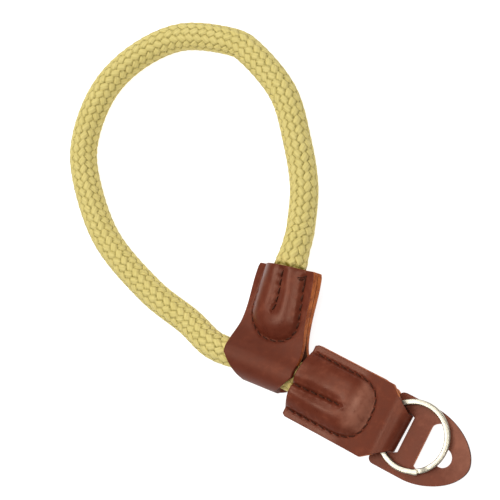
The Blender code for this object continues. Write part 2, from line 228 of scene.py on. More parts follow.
@dataclass(frozen=True)
class BraidFinish:
    """Straw-coloured yarn of fine plies, with painted olive shade where it dips between its neighbours.
    """

    crown: tuple[float, ...] = tone(238, 221, 148)
    flank: tuple[float, ...] = tone(218, 200, 118)
    # hollow: the olive of the painted shade where a yarn dips under its neighbours
    hollow: tuple[float, ...] = tone(112, 98, 14)
    plies: float = 9.0
    ply_lean: float = 0.5
    ply_depth: float = 0.12 * MM
    fibre_scale: tuple[float, float, float] = (26.0, 0.55, 1.0)
    patch: float = 9.0 * MM
    painted_shade_patch: float = 2.4 * MM

    def build(self) -> bpy.types.Material:
        """Build it on the yarn's UV map, which is its turn and its length in mm, and its dip_shade
        attribute of painted shade.

        Returns:
            The material.
        """
        g = Graph("braided_cord")
        uv = g.node("ShaderNodeUVMap", {"uv_map": "yarn"})
        split = g.node("ShaderNodeSeparateXYZ", {}, {0: uv})
        along = split.twin(1)
        stretched = g.node("ShaderNodeMapping", {}, {"Vector": uv, "Scale": self.fibre_scale})
        fibre = g.noise(stretched, 1.0, 3.0, 0.6)
        turn = split * (2.0 * math.pi * self.plies) + along * self.ply_lean
        ply = (turn + fibre * 2.2).sine() * 0.5 + 0.5
        patches = g.noise(g.object_point(), self.patch)
        # The ply term makes each ply's crest a little lighter: painted shade of the ply grooves
        worn = (fibre * 0.9 + ply * 0.15 + patches * 0.5 - 0.45).held()
        top = g.mix(worn, self.flank, self.crown)
        # Painted shade: olive where the yarn dips under its neighbours, in the ply grooves and by the
        # leather's lips, in uneven patches
        uneven = g.noise(g.object_point(), self.painted_shade_patch) * 1.5 + 0.3
        sunk = ((g.attribute("dip_shade") + (1.0 - ply) * 0.08 - 0.04) * uneven).held()
        colour = g.mix(sunk, top, self.hollow)
        relief = ply * 0.7 + fibre * 0.3
        return g.surface(
            Base_Color=colour,
            Roughness=(fibre * 0.25 + 0.5).held(),
            Normal=g.bump(relief, self.ply_depth, 0.5),
            Specular_IOR_Level=0.25,
        )


@dataclass(frozen=True)
class CoreFinish:
    """The core yarn, coloured dark olive as painted shade where it shows between the outer ones."""

    light: tuple[float, ...] = tone(120, 110, 46)
    dark: tuple[float, ...] = tone(72, 66, 26)
    fibre: float = 0.5 * MM
    depth: float = 0.15 * MM

    def build(self) -> bpy.types.Material:
        """Build it on Object coordinates.

        Returns:
            The material.
        """
        g = Graph("cord_core")
        fibre = g.noise(g.object_point(), self.fibre, 3.0, 0.65)
        return g.surface(
            Base_Color=g.mix(fibre, self.dark, self.light),
            Roughness=(fibre * 0.2 + 0.7).held(),
            Normal=g.bump(fibre, self.depth, 0.6),
        )


@dataclass(frozen=True)
class LeatherFinish:
    """Smooth reddish brown leather with a fine grain and a waxed sheen.

    It gets lighter along sheen_way, from sheen_start on and fully after sheen_length: a painted sheen.
    Where the piece's rub_sheen_and_matt attribute is over 0 it is lighter too, rubbed and with a painted
    highlight, and under 0 it is less shiny.
    """

    name: str = "smooth_leather"
    deep: tuple[float, ...] = tone(92, 38, 24)
    body: tuple[float, ...] = tone(113, 52, 34)
    worn: tuple[float, ...] = tone(128, 66, 46)
    shine: tuple[float, ...] = (1.0, 0.64, 0.47, 1.0)
    # rubbed: the lighter colour of rubbed leather, also used for painted sheen and painted highlight
    rubbed: tuple[float, ...] = tone(156, 100, 80)
    sheen_way: tuple[float, float, float] = (0.707, -0.707, 0.0)
    sheen_start: float = 0.0
    sheen_length: float = 0.0
    roughness: float = 0.31
    gloss: float = 0.38
    cloud: float = 11.0 * MM
    mottle: float = 2.6 * MM
    pore: float = 0.32 * MM
    grain: float = 0.16 * MM
    depth: float = 0.035 * MM

    def build(self) -> bpy.types.Material:
        """Build it on Object coordinates and the strip's handled attribute.

        Returns:
            The material.
        """
        g = Graph(self.name)
        point = g.object_point()
        cloud = g.noise(point, self.cloud, 3.0, 0.55)
        mottle = g.noise(point, self.mottle, 3.0, 0.6)
        pores = g.node(
            "ShaderNodeTexVoronoi",
            {"feature": "DISTANCE_TO_EDGE"},
            {"Vector": point, "Scale": 1.0 / self.pore, "Randomness": 1.0},
        )
        fine = g.noise(point, self.grain)
        shade = ((cloud - 0.5) * 1.5 + (mottle - 0.5) * 1.1 + 0.5).held()
        lower = g.mix(shade, self.deep, self.body)
        colour = g.mix(((mottle * 1.6 + cloud * 1.0 - 1.42) * 1.6).held(), lower, self.worn)
        # Painted sheen: lighter along sheen_way
        if self.sheen_length:
            dot = {"operation": "DOT_PRODUCT"}
            towards = g.node("ShaderNodeVectorMath", dot, {0: point, 1: self.sheen_way}, output="Value")
            rub = ((towards - self.sheen_start) / self.sheen_length + mottle - 0.5).held()
            colour = g.mix(rub * 0.6, colour, self.rubbed)
        rub_sheen_and_matt = g.attribute("rub_sheen_and_matt")
        # Lighter where rub_sheen_and_matt is over 0: rubbed leather with a painted highlight
        colour = g.mix((rub_sheen_and_matt * (mottle * 2.0 - 0.1)).held() * 0.75, colour, self.rubbed)
        lee = (rub_sheen_and_matt * -1.0).held()
        crease = (pores * 3.0).held()
        relief = crease * 0.3 + fine * 0.25 + mottle * 0.6
        patchy = mottle * 0.3 + cloud * 0.22 + (1.0 - crease) * 0.06
        return g.surface(
            Base_Color=colour,
            Roughness=(patchy + lee * 0.3 + (self.roughness - 0.27)).held(),
            Normal=g.bump(relief, self.depth, 0.6),
            Specular_IOR_Level=self.gloss,
            Specular_Tint=self.shine,
        )


@dataclass(frozen=True)
class CutEdgeFinish:
    """The raw tan edge of the cut leather, with fibres that lie along it."""

    light: tuple[float, ...] = tone(214, 122, 56)
    body: tuple[float, ...] = tone(180, 88, 36)
    dark: tuple[float, ...] = tone(112, 50, 22)
    fibre: float = 0.3 * MM
    patch: float = 3.0 * MM
    depth: float = 0.12 * MM

    def build(self) -> bpy.types.Material:
        """Build it on Object coordinates.

        Returns:
            The material.
        """
        g = Graph("cut_edge")
        point = g.object_point()
        layers = g.node("ShaderNodeMapping", {}, {"Vector": point, "Scale": (0.35, 0.35, 1.0)})
        fibre = g.noise(layers, self.fibre, 3.0, 0.65)
        patches = g.noise(point, self.patch)
        low = g.mix((fibre * 1.8 - 0.4).held(), self.dark, self.body)
        colour = g.mix((patches * 2.0 + fibre - 1.1).held(), low, self.light)
        return g.surface(
            Base_Color=colour,
            Roughness=(fibre * 0.3 + 0.5).held(),
            Normal=g.bump(fibre, self.depth, 0.7),
            Specular_IOR_Level=0.2,
        )


@dataclass(frozen=True)
class FleshSideFinish:
    """The brushed inner side of the leather."""

    light: tuple[float, ...] = tone(124, 74, 48)
    dark: tuple[float, ...] = tone(72, 38, 25)
    nap: float = 0.45 * MM
    patch: float = 5.0 * MM
    depth: float = 0.15 * MM

    def build(self) -> bpy.types.Material:
        """Build it on Object coordinates.

        Returns:
            The material.
        """
        g = Graph("flesh_side")
        nap = g.noise(g.object_point(), self.nap, 4.0, 0.7)
        patches = g.noise(g.object_point(), self.patch)
        return g.surface(
            Base_Color=g.mix((nap * 0.7 + patches * 0.8 - 0.25).held(), self.dark, self.light),
            Roughness=(nap * 0.15 + 0.8).held(),
            Normal=g.bump(nap, self.depth, 0.8),
        )


@dataclass(frozen=True)
class NickelFinish:
    """Polished nickel wire with fine rubbing marks."""

    bright: tuple[float, ...] = tone(192, 186, 168)
    rubbed: tuple[float, ...] = tone(174, 167, 149)
    rub: float = 1.6 * MM
    scratch: float = 0.22 * MM
    depth: float = 0.02 * MM

    def build(self) -> bpy.types.Material:
        """Build it on Object coordinates.

        Returns:
            The material.
        """
        g = Graph("nickel_wire")
        rub = g.noise(g.object_point(), self.rub, 3.0, 0.6)
        scratch = g.noise(g.object_point(), self.scratch)
        return g.surface(
            Base_Color=g.mix((rub * 1.6 - 0.3).held(), self.bright, self.rubbed),
            Metallic=1.0,
            Roughness=(rub * 0.16 + scratch * 0.08 + 0.2).held(),
            Normal=g.bump(scratch, self.depth, 0.25),
        )


@dataclass(frozen=True)
class ThreadFinish:
    """Waxed dark brown thread, twisted of three plies."""

    light: tuple[float, ...] = tone(82, 40, 28)
    dark: tuple[float, ...] = tone(38, 15, 9)
    shine: tuple[float, ...] = (1.0, 0.62, 0.45, 1.0)
    fibre: float = 0.25 * MM
    depth: float = 0.08 * MM

    def build(self) -> bpy.types.Material:
        """Build it on Object coordinates.

        Returns:
            The material.
        """
        g = Graph("waxed_thread")
        fibre = g.noise(g.object_point(), self.fibre, 2.0, 0.6)
        return g.surface(
            Base_Color=g.mix((fibre * 1.6 - 0.3).held(), self.dark, self.light),
            Roughness=(fibre * 0.3 + 0.35).held(),
            Normal=g.bump(fibre, self.depth, 0.6),
            Specular_IOR_Level=0.3,
            Specular_Tint=self.shine,
        )


@dataclass(frozen=True)
class FloorFinish:
    """Matt white paper, lit a little from below as on a light table."""

    paper: tuple[float, ...] = (0.4, 0.4, 0.4, 1.0)
    light: tuple[float, ...] = (0.43, 0.43, 0.43, 1.0)
    fibre: float = 4.0 * MM
    glow: float = 0.86

    def build(self) -> bpy.types.Material:
        """Build it on Object coordinates.

        Returns:
            The material.
        """
        g = Graph("white_paper")
        fibre = g.noise(g.object_point(), self.fibre, 3.0)
        return g.surface(
            Base_Color=g.mix(fibre, self.paper, self.light),
            Roughness=0.9,
            Specular_IOR_Level=0.0,
            Emission_Color=(1.0, 1.0, 1.0, 1.0),
            Emission_Strength=self.glow,
        )


# Helpers for meshes


def ease(share: Any) -> Any:
    """Return a smooth step from 0 to 1 as share goes from 0 to 1."""
    share = np.clip(share, 0.0, 1.0)
    return share * share * (3.0 - 2.0 * share)


def mesh_piece(name: str, points: Array, faces: Array) -> bpy.types.Object:
    """Make a piece from its points and faces.

    Args:
        name: The piece's name.
        points: Its points, one row each.
        faces: Its quads, one row each.

    Returns:
        The new object.
    """
    mesh = bpy.data.meshes.new(name)
    mesh.from_pydata(points.tolist(), [], faces.tolist())
    mesh.update()
    piece = bpy.data.objects.new(name, mesh)
    bpy.context.scene.collection.objects.link(piece)
    return piece


def take(piece: bpy.types.Object) -> None:
    """Make a piece the active one and the only one that is selected.

    Args:
        piece: The piece.
    """
    bpy.ops.object.select_all(action="DESELECT")
    piece.select_set(True)
    bpy.context.view_layer.objects.active = piece


def added() -> bpy.types.Object:
    """Return the object that an operator has just added."""
    return bpy.context.view_layer.objects.active


def apply_modifier(piece: bpy.types.Object, name: str, kind: str, **settings: Any) -> None:
    """Give a piece a modifier and apply it.

    Args:
        piece: The piece.
        name: The modifier's name.
        kind: Its type.
        settings: Its settings.
    """
    take(piece)
    modifier = piece.modifiers.new(name, kind)
    for setting, value in settings.items():
        setattr(modifier, setting, value)
    bpy.ops.object.modifier_apply(modifier=name)


def points_of(piece: bpy.types.Object) -> Array:
    """Read the points of a piece's mesh.

    Args:
        piece: The piece.

    Returns:
        The points, one row each.
    """
    flat = np.empty(3 * len(piece.data.vertices))
    piece.data.vertices.foreach_get("co", flat)
    return flat.reshape(-1, 3)


def set_points(piece: bpy.types.Object, points: Array) -> None:
    """Move the points of a piece's mesh."""
    piece.data.vertices.foreach_set("co", points.ravel())
    piece.data.update()


def outwards(piece: bpy.types.Object) -> None:
    """Merge a piece's doubled points and turn its faces outwards.

    Args:
        piece: The piece.
    """
    take(piece)
    bpy.ops.object.mode_set(mode="EDIT")
    bpy.ops.mesh.select_all(action="SELECT")
    bpy.ops.mesh.remove_doubles(threshold=DOUBLED)
    bpy.ops.mesh.normals_make_consistent(inside=False)
    bpy.ops.object.mode_set(mode="OBJECT")


def shade(piece: bpy.types.Object, degrees: float) -> None:
    """Shade a piece smooth, with sharp edges over an angle."""
    take(piece)
    bpy.ops.object.shade_smooth_by_angle(angle=math.radians(degrees))


def add_slots(piece: bpy.types.Object, count: int) -> None:
    """Give a piece empty material slots until it has this many."""
    while len(piece.data.materials) < count:
        piece.data.materials.append(None)


def add_wall(piece: bpy.types.Object, thickness: float, offset: float) -> None:
    """Give a sheet a wall: offset is 1 to grow along its normals, and its rim takes slot 2."""
    apply_modifier(piece, "wall", "SOLIDIFY", thickness=thickness, offset=offset,
                   material_offset=1, material_offset_rim=2)


def round_edges(piece: bpy.types.Object, radius: float, segments: int) -> None:
    """Round a piece's sharp edges, with this many faces across the rounding."""
    apply_modifier(piece, "rounded_edges", "BEVEL", width=radius, segments=segments,
                   limit_method="ANGLE", angle_limit=math.radians(60.0))


def set_attribute(piece: bpy.types.Object, name: str, values: Array) -> None:
    """Give a piece's points a number that its materials can read."""
    layer = piece.data.attributes.new(name, "FLOAT", "POINT")
    layer.data.foreach_set("value", values)


def tube_faces(rings: int, sides: int, count: int = 1) -> tuple[Array, Array]:
    """Lay out the faces of tubes of rings, with closed ends.

    Args:
        rings: The rings of each tube.
        sides: The points of each ring.
        count: How many tubes there are.

    Returns:
        The quads, and the share of the way round at each of their corners.
    """
    faces, shares = [], []
    for near in range(0, (rings - 1) * sides, sides):
        far = near + sides
        for k in range(sides):
            faces.append((near + k, near + (k + 1) % sides, far + (k + 1) % sides, far + k))
            shares.append((k, k + 1, k + 1, k))
    for start, turn in ((0, -1), ((rings - 1) * sides, 1)):
        for k in range(sides // 2 - 1):
            cap = (start + k, start + k + 1, start + sides - k - 2, start + sides - k - 1)
            faces.append(cap[::turn])
            shares.append((k, k + 1, k + 1, k)[::turn])
    every = np.vstack([np.array(faces) + n * rings * sides for n in range(count)])
    return every, np.tile(np.array(shares) / sides, (count, 1))


def dress(piece: bpy.types.Object, finishes: list[bpy.types.Material], node: str) -> None:
    """Give a piece its finishes and hang it on the strap.

    Args:
        piece: The piece.
        finishes: Its materials, in the order of its faces' material numbers.
        node: The CAD node that it takes the place of.
    """
    add_slots(piece, len(finishes))
    for number, finish in enumerate(finishes):
        piece.data.materials[number] = finish
    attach(piece, "root")
    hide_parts(node)
    log.info("%s: %d faces", piece.name, len(piece.data.polygons))


# Folded leather strips


@dataclass(frozen=True)
class Seam:
    """A row of stitches on a strip, as a line of points (a, w), and how it draws the leather in."""

    line: Array
    pitch: float = 2.9 * MM
    sunk: float = 0.1 * MM
    valley_depth: float = 0.28 * MM
    valley_width: float = 0.6 * MM
    hole_depth: float = 0.42 * MM
    hole_width: float = 0.4 * MM
    pucker_height: float = 0.2 * MM
    pucker_offset: float = 0.95 * MM
    pucker_width: float = 0.4 * MM
    look_ahead: float = 0.2 * MM

    def length(self) -> float:
        """Return the seam's length."""
        return float(self.steps()[-1])

    def steps(self) -> Array:
        """Return the way along the seam to each of its points."""
        legs = np.linalg.norm(np.diff(self.line, axis=0), axis=1)
        return np.concatenate([[0.0], np.cumsum(legs)])

    def at(self, way: Array) -> tuple[Array, Array]:
        """Find points of the seam and its direction there.

        Args:
            way: How far along the seam the points are.

        Returns:
            The points and the unit directions, one row each.
        """
        steps = self.steps()
        spots = [np.column_stack([np.interp(at, steps, part) for part in self.line.T])
                 for at in (way - self.look_ahead, way, way + self.look_ahead)]
        heading = spots[2] - spots[0]
        return spots[1], heading / np.linalg.norm(heading, axis=1)[:, None]

    def nearest(self, points: Array) -> tuple[Array, Array]:
        """Find how far points are from the seam, and how far along it their nearest place is.

        Args:
            points: Points (a, w), one row each.

        Returns:
            The distance and the way along.
        """
        distance = np.full(len(points), 1.0)
        way = np.zeros(len(points))
        for start, end, step in zip(self.line, self.line[1:], self.steps()):
            leg = end - start
            size = np.linalg.norm(leg)
            along = np.clip((points - start) @ leg / size, 0.0, size)
            away = np.linalg.norm(points - start - along[:, None] * leg / size, axis=1)
            closer = away < distance
            distance = np.where(closer, away, distance)
            way = np.where(closer, step + along, way)
        return distance, way

    def relief(self, points: Array, middle_side: Any) -> Array:
        """Work out how far the thread draws the leather in at points.

        Args:
            points: Points (a, w), one row each.
            middle_side: 1 where a point lies inside the seam, 0 outside.

        Returns:
            The depth, in metres; a pucker is less than 0.
        """
        distance, way = self.nearest(points)
        from_hole = np.abs((way / self.pitch + 0.5) % 1.0 - 0.5) * self.pitch
        valley = self.valley_depth * np.exp(-((distance / self.valley_width) ** 2))
        hole = self.hole_depth * np.exp(-((distance**2 + from_hole**2) / self.hole_width**2))
        wave = 0.5 - 0.5 * np.cos(2.0 * math.pi * way / self.pitch)
        ridge = np.exp(-(((distance - self.pucker_offset) / self.pucker_width) ** 2))
        return valley + hole - self.pucker_height * ridge * (0.2 + 0.8 * wave) * middle_side


@dataclass(frozen=True)
class Thread:
    """Sewing thread: a stitch that dives into its two holes, and a loose end that lies on the leather."""

    radius: float = 0.25 * MM
    half_stitch: float = 1.28 * MM
    dive: float = 0.55 * MM
    lean: float = 0.2 * MM
    rings: int = 9
    sides: int = 8
    loose_radius: float = 0.2 * MM
    loose_rings: int = 24
    loose_sides: int = 6

    def stitch(self) -> tuple[Array, Array]:
        """Model one stitch along x. Its section has a point at each corner and halfway along each side.

        Returns:
            Its points and its quads.
        """
        count = 2 * self.sides
        steps = np.arange(1, count + 1) - self.sides
        turns = steps * math.pi / self.sides
        radius = self.radius * np.where(steps % 2 == 1, math.cos(math.pi / self.sides), 1.0)
        points = []
        for share in np.linspace(-1.0, 1.0, self.rings):
            thick = max(1.0 - 0.75 * abs(share) ** 5, 0.2)
            aside = radius * np.cos(turns) * thick + self.lean * share
            up = radius * np.sin(turns) * thick - self.dive * abs(share) ** 3.2
            points.append(np.column_stack([np.full(count, share * self.half_stitch), aside, up]))
        return np.vstack(points), tube_faces(self.rings, count)[0]

    def loose_end(self, line: Array) -> tuple[Array, Array]:
        """Model a thin end along a line, tapered at both tips.

        Args:
            line: The points that it follows.

        Returns:
            Its points and its quads.
        """
        heading = np.gradient(line, axis=0)
        side = np.cross(heading, [0.0, 0.0, 1.0])
        side /= np.linalg.norm(side, axis=1)[:, None]
        up = np.cross(side, heading)
        up /= np.linalg.norm(up, axis=1)[:, None]
        swell = np.sin(np.linspace(0.06, math.pi - 0.06, len(line)))
        taper = self.loose_radius * np.clip(4.0 * swell, 0.3, 1.0)
        turns = np.linspace(0.0, 2.0 * math.pi, self.loose_sides, endpoint=False)
        rings = [line + taper[:, None] * (math.cos(t) * side + math.sin(t) * up) for t in turns]
        points = np.stack(rings, axis=1).reshape(-1, 3)
        return points, tube_faces(len(line), self.loose_sides)[0]


@dataclass
class FoldedStrip:
    """A leather strip folded in two: a rope mouth, a stitched pocket and a rounded fold.

    A point of it is (a, w, h): a along it from the mouth to the fold's axis, w across it, and h up from
    the middle between its layers. Its grid runs from the lower layer's mouth round the fold to the upper
    layer's mouth, as a path from -1 to 1, and from edge to edge, as across from -1 to 1.
    """

    name: str
    length: float
    fold_radius: float
    pocket_length: float
    pocket_width: float
    pocket_power: float
    groove_length: float
    heights: list[tuple[float, float]]
    fold_point: tuple[float, float]
    angle: float
    centre_seam: tuple[tuple[float, float], tuple[float, float]]
    fold_rows: float
    # How the strip lies and is cut
    twist: float = 0.0
    skew: float = 0.0
    splay: float = 0.0
    splay_end: float = 0.75
    open_length: float = 0.0
    drawn_in: float = 0.0
    lip: float = 0.0
    width: float = 26.4 * MM
    waist_width: float = 13.4 * MM
    waist_length: float = 4.8 * MM
    chamfer_length: float = 8.8 * MM
    corner_radius: float = 1.3 * MM
    cut_back: float = 0.0
    cut_back_end: float = 14.0 * MM
    cut_back_fade: float = 5.0 * MM
    cut_back_shares: tuple[float, float] = (0.36, 0.76)
    leather: float = 2.0 * MM
    edge_radius: float = 0.28 * MM
    layer_gap: float = 0.1 * MM
    fold_reach: tuple[float, float] = (1.0, 0.0)
    # How the leather is laid over the rope
    wall: float = 1.0 * MM
    wall_shares: tuple[float, float, int] = (0.14, 0.98, 7)
    wall_turns: int = 16
    hollow: float = 0.6 * MM
    early: float = 1.0 * MM
    dome_powers: tuple[float, float] = (2.2, 3.4)
    groove_depth: float = 1.6 * MM
    groove_width: float = 4.4 * MM
    groove_run_out: float = 1.5 * MM
    crease_width: float = 0.55 * MM
    crease_share: float = 0.28
    # How the rope is pressed flat in the pocket
    press_length: float = 12.0 * MM
    press_lead: float = 1.5 * MM
    flare: float = 0.15
    flare_length: float = 9.0 * MM
    rope_diameter: float = 10.0 * MM
    pressed_thickness: float = 7.2 * MM
    pressed_width: float = 16.8 * MM
    # How the surface looks
    dark_edge_reach: float = -1.0
    # rub and the next lines: the hump's end rubbed lighter, with a painted highlight that fades on the
    # side away from the light
    rub: float = 0.0
    rub_sheen_aside: float = 0.2
    shaded_side_fall: float = 0.8
    hump_fade: float = 0.05
    rub_sheen_fade: float = 4.0 * MM
    matt: float = 0.7
    fold_matt: float = 0.9
    fold_fade: float = 0.04
    # The thread and the mesh
    loose_ends: tuple[tuple[tuple[float, float, float], ...], ...] = ()
    seam_reach: float = 1.035
    seam_start: float = 0.9 * MM
    rows: int = 300
    columns: int = 112
    edge_cell: float = 0.02

    def middle_height(self, a: Any) -> Any:
        """Work out the height of the middle between the layers.

        Args:
            a: Along the strip.

        Returns:
            The height over the ground.
        """
        height = np.full(np.shape(a), self.heights[0][1])
        for (a0, z0), (a1, z1) in zip(self.heights, self.heights[1:]):
            height = np.where(np.asarray(a) > a0, z0 + (z1 - z0) * ease((a - a0) / (a1 - a0)), height)
        return height

    def roll(self, a: Any) -> Any:
        """Return the turn about the strip's length."""
        return self.twist * np.maximum(0.0, 1.0 - np.maximum(a, 0.0) / (self.length - self.fold_radius))

    def rope_end(self) -> float:
        """Return how far in the pocket the rope ends."""
        return self.pocket_length - 0.1 * self.pocket_width

    def place(self, a: Any, w: Any, h: Any, out: Any = 0.0) -> Array:
        """Place (a, w, h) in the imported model's frame.

        Args:
            a: Along the strip.
            w: Across it.
            h: Up from the middle between the layers.
            out: How far out past the fold's axis.

        Returns:
            The points, one row each.
        """
        roll = self.roll(a)
        splayed = 1.0 - ease((a / self.length - self.splay_end) / (1.0 - self.splay_end))
        w = w + self.splay * np.minimum(w, 0.0) * splayed
        x = self.length - a - out + math.tan(self.skew) * w * ease(a / self.pocket_length)
        y = w * np.cos(roll) + h * np.sin(roll)
        z = self.middle_height(a) - w * np.sin(roll) + h * np.cos(roll)
        cosine, sine = math.cos(self.angle), math.sin(self.angle)
        x, y = self.fold_point[0] + x * cosine - y * sine, self.fold_point[1] + x * sine + y * cosine
        return np.stack(np.broadcast_arrays(x, y, z), axis=-1) + ORIGIN_SHIFT

    def pressing(self, a: Any) -> Any:
        """Return how far the rope is pressed: 0 where it is round, 1 where it is flat."""
        return ease((a + self.press_lead) / self.press_length)

    def fold_opening(self, a: Any) -> Any:
        """Work out half the space that the fold leaves: a soft start by the seam, a slope, a round fold.

        Args:
            a: Along the strip.

        Returns:
            Half the space.
        """
        reach = self.length - self.open_length
        slope = math.asin(self.fold_radius / (reach - self.pocket_length + self.early))
        away = np.maximum(reach - a, 0.0)
        arc = np.sqrt(np.maximum(self.fold_radius**2 - away**2, 0.0))
        ramp = self.fold_radius / math.cos(slope) - away * math.tan(slope)
        height = np.where(away < self.fold_radius * math.sin(slope), arc, ramp)
        rise = (height - self.layer_gap / 2.0) / self.hollow
        soft = np.where(rise > 8.0, rise, np.log1p(np.exp(np.minimum(rise, 8.0))))
        return self.layer_gap / 2.0 + self.hollow * soft

    def seam_middle(self, a: Any) -> Any:
        """Return where across the strip the middle seam lies."""
        (a0, w0), (a1, w1) = self.centre_seam
        return w0 + (w1 - w0) * np.clip((a - a0) / (a1 - a0), 0.0, 1.0)

    def dome(self, a: Any, w: Any) -> Any:
        """Work out half the space between the layers over an ungrooved rope, away from the round fold.

        Args:
            a: Along the strip.
            w: Across it.

        Returns:
            Half the space.
        """
        pressing = self.pressing(a)
        round_power, flat_power = self.dome_powers
        power = round_power + (flat_power - round_power) * pressing
        rise = np.maximum(0.0, 1.0 - self.reach(a, w) ** power)
        thickness = self.rope_diameter + (self.pressed_thickness - self.rope_diameter) * pressing
        room = thickness / 2.0 + CLEARANCE - self.layer_gap / 2.0
        return np.maximum(self.layer_gap / 2.0 + rise * room, self.fold_opening(a))

    def groove(self, a: Any, w: Any) -> Any:
        """Work out how deep the middle seam draws the leather into the rope.

        Args:
            a: Along the strip.
            w: Across it.

        Returns:
            The depth.
        """
        start = ease((a + self.press_lead) / self.press_lead)
        end = ease((self.groove_length + self.groove_run_out - a) / (0.3 * self.groove_length))
        aside = w - self.seam_middle(a)
        wide = np.exp(-((2.0 * aside / self.groove_width) ** 2))
        crease = np.exp(-np.abs(aside) / self.crease_width)
        shape = (1.0 - self.crease_share) * wide + self.crease_share * crease
        return self.groove_depth * shape * start * end

    def pocket(self, a: Any, w: Any) -> Any:
        """Return half the space between the layers, away from the rounded fold."""
        least = np.maximum(self.layer_gap / 2.0, self.fold_opening(a))
        return np.maximum(self.dome(a, w) - self.groove(a, w), least)

    def cover(self, a: Any, w: Any) -> Any:
        """Work out the height of the outer surface over the middle: the leather laid over the rope.

        Args:
            a: Along the strip.
            w: Across it.

        Returns:
            The height.
        """
        height = self.dome(a, w) + self.leather
        for share in np.linspace(*self.wall_shares):
            lift = self.leather * math.sqrt(1.0 - share**2)
            for turn in np.linspace(0.0, 2.0 * math.pi, self.wall_turns, endpoint=False):
                reach = share * self.wall
                near = self.dome(a + reach * math.cos(turn), w + reach * math.sin(turn))
                height = np.maximum(height, near + lift)
        return height - self.groove(a, w) * ease((height - self.leather) / MM)

    def half_width(self, a: Any, turned: Any = 0.0, under: Any = 0.0) -> Any:
        """Work out half the strip's width.

        Args:
            a: Along the strip.
            turned: How far round the fold, from the flat layer.
            under: 1 on the lower layer, whose corners are cut back.

        Returns:
            Half the width there.
        """
        outer = self.fold_radius + self.leather
        from_fold = (math.pi / 2.0 - turned) * outer + self.length - a
        past_waist = np.abs(from_fold) - self.waist_length / 2.0
        share = np.clip(past_waist / self.chamfer_length, 0.0, 1.0)
        start, full = self.cut_back_shares
        fading = ease((self.cut_back_end - past_waist) / self.cut_back_fade)
        cut = under * self.cut_back * ease((share - start) / (full - start)) * fading
        corner = np.maximum(0.0, self.corner_radius - self.lip - a)
        rounded = self.corner_radius - np.sqrt(np.maximum(self.corner_radius**2 - corner**2, 0.0))
        drawn = self.drawn_in * np.sin(math.pi * a / self.length) ** 2
        return (self.waist_width + (self.width - self.waist_width) * share) / 2.0 - rounded - drawn - cut

    def spot(self, path: Array, across: Array) -> tuple[Array, Array, Array]:
        """Find where on the strip places of its grid lie.

        Args:
            path: From -1 at the lower layer's mouth to 1 at the upper layer's mouth.
            across: From -1 to 1.

        Returns:
            a, w, and the turn round the fold from the flat layer.
        """
        share = np.abs(path)
        turned = np.where(share < self.fold_rows, math.pi / 2.0 * (1.0 - share / self.fold_rows), 0.0)
        flat = np.clip((share - self.fold_rows) / (1.0 - self.fold_rows), 0.0, 1.0)
        a = self.length - (self.length + self.lip) * flat
        return a, self.half_width(a, turned, path < 0.0) * across, turned

    def wrapped(self, path: Array, across: Array, height: Array, radius: float, reach: Any) -> Array:
        """Wrap a surface round the fold.

        Args:
            path: From -1 at the lower layer's mouth to 1 at the upper layer's mouth.
            across: From -1 to 1.
            height: Its height over the middle between the layers.
            radius: Its radius round the fold.
            reach: How far out the fold goes there.

        Returns:
            The points, one row each.
        """
        a, w, turned = self.spot(path, across)
        side = np.where(path > 0.0, 1.0, -1.0)
        round_it = np.abs(path) < self.fold_rows
        up = side * np.where(round_it, radius * np.cos(turned), height)
        return self.place(a, w, up, np.where(round_it, reach * np.sin(turned), 0.0))

    def inner(self, path: Array, across: Array) -> Array:
        """Return points of the strip's inner surface, from its grid's coordinates."""
        a, w, _ = self.spot(path, across)
        return self.wrapped(path, across, self.pocket(a, w), self.fold_radius, self.fold_radius)

    def outer(self, path: Array, across: Array) -> Array:
        """Place the strip's outer surface, drawn in along its seams.

        Args:
            path: From -1 at the lower layer's mouth to 1 at the upper layer's mouth.
            across: From -1 to 1.

        Returns:
            The points, one row each.
        """
        a, w, _ = self.spot(path, across)
        spots = np.column_stack([a, w])
        inside = (self.reach(a, w) < self.seam_reach).astype(float)
        relief = self.u_seam().relief(spots, inside) + self.middle_seam().relief(spots, 1.0)
        radius = self.fold_radius + self.leather
        reach = radius * (self.fold_reach[0] + self.fold_reach[1] * across)
        return self.wrapped(path, across, self.cover(a, w) - relief, radius, reach)

    def rub_sheen_and_matt(self, path: Array, across: Array) -> Array:
        """Work out how the outer surface is worn and lit: rubbed lighter where the pocket ends, with a
        painted highlight, and matt before the fold.

        Args:
            path: From -1 at the lower layer's mouth to 1 at the upper layer's mouth.
            across: From -1 to 1.

        Returns:
            The rubbing with its painted highlight, up to 1, less the mattness, down to -1.
        """
        a, w, _ = self.spot(path, across)
        on_hump = ease((self.seam_reach - self.reach(a, w)) / self.hump_fade)
        past_groove = ease((a - self.groove_length - MM) / self.rub_sheen_fade)
        # The lightening falls off towards the side of the hump away from the light: painted highlight
        aside = self.rub_sheen_aside * self.pocket_width
        fall = self.shaded_side_fall * ease((w - aside) / aside)
        rub = self.rub * (path > 0.0) * on_hump * past_groove * (1.0 - fall)
        on_flat = ease((path - self.fold_rows) / self.fold_fade)
        matt = self.matt * ease(1.0 + path / self.fold_rows)
        matt = matt * (self.fold_matt + (1.0 - self.fold_matt) * on_flat)
        return rub - matt * (1.0 - on_hump) * past_groove

    def reach(self, a: Array, w: Array) -> Array:
        """Work out how far out in the pocket points are.

        Args:
            a: Along the strip.
            w: Across it.

        Returns:
            0 in the pocket's middle, 1 on its edge.
        """
        half = self.pocket_width / 2.0
        past = np.maximum(0.0, a - self.pocket_length + half)
        power = self.pocket_power
        return ((np.abs(w) / half) ** power + (past / half) ** power) ** (1.0 / power)

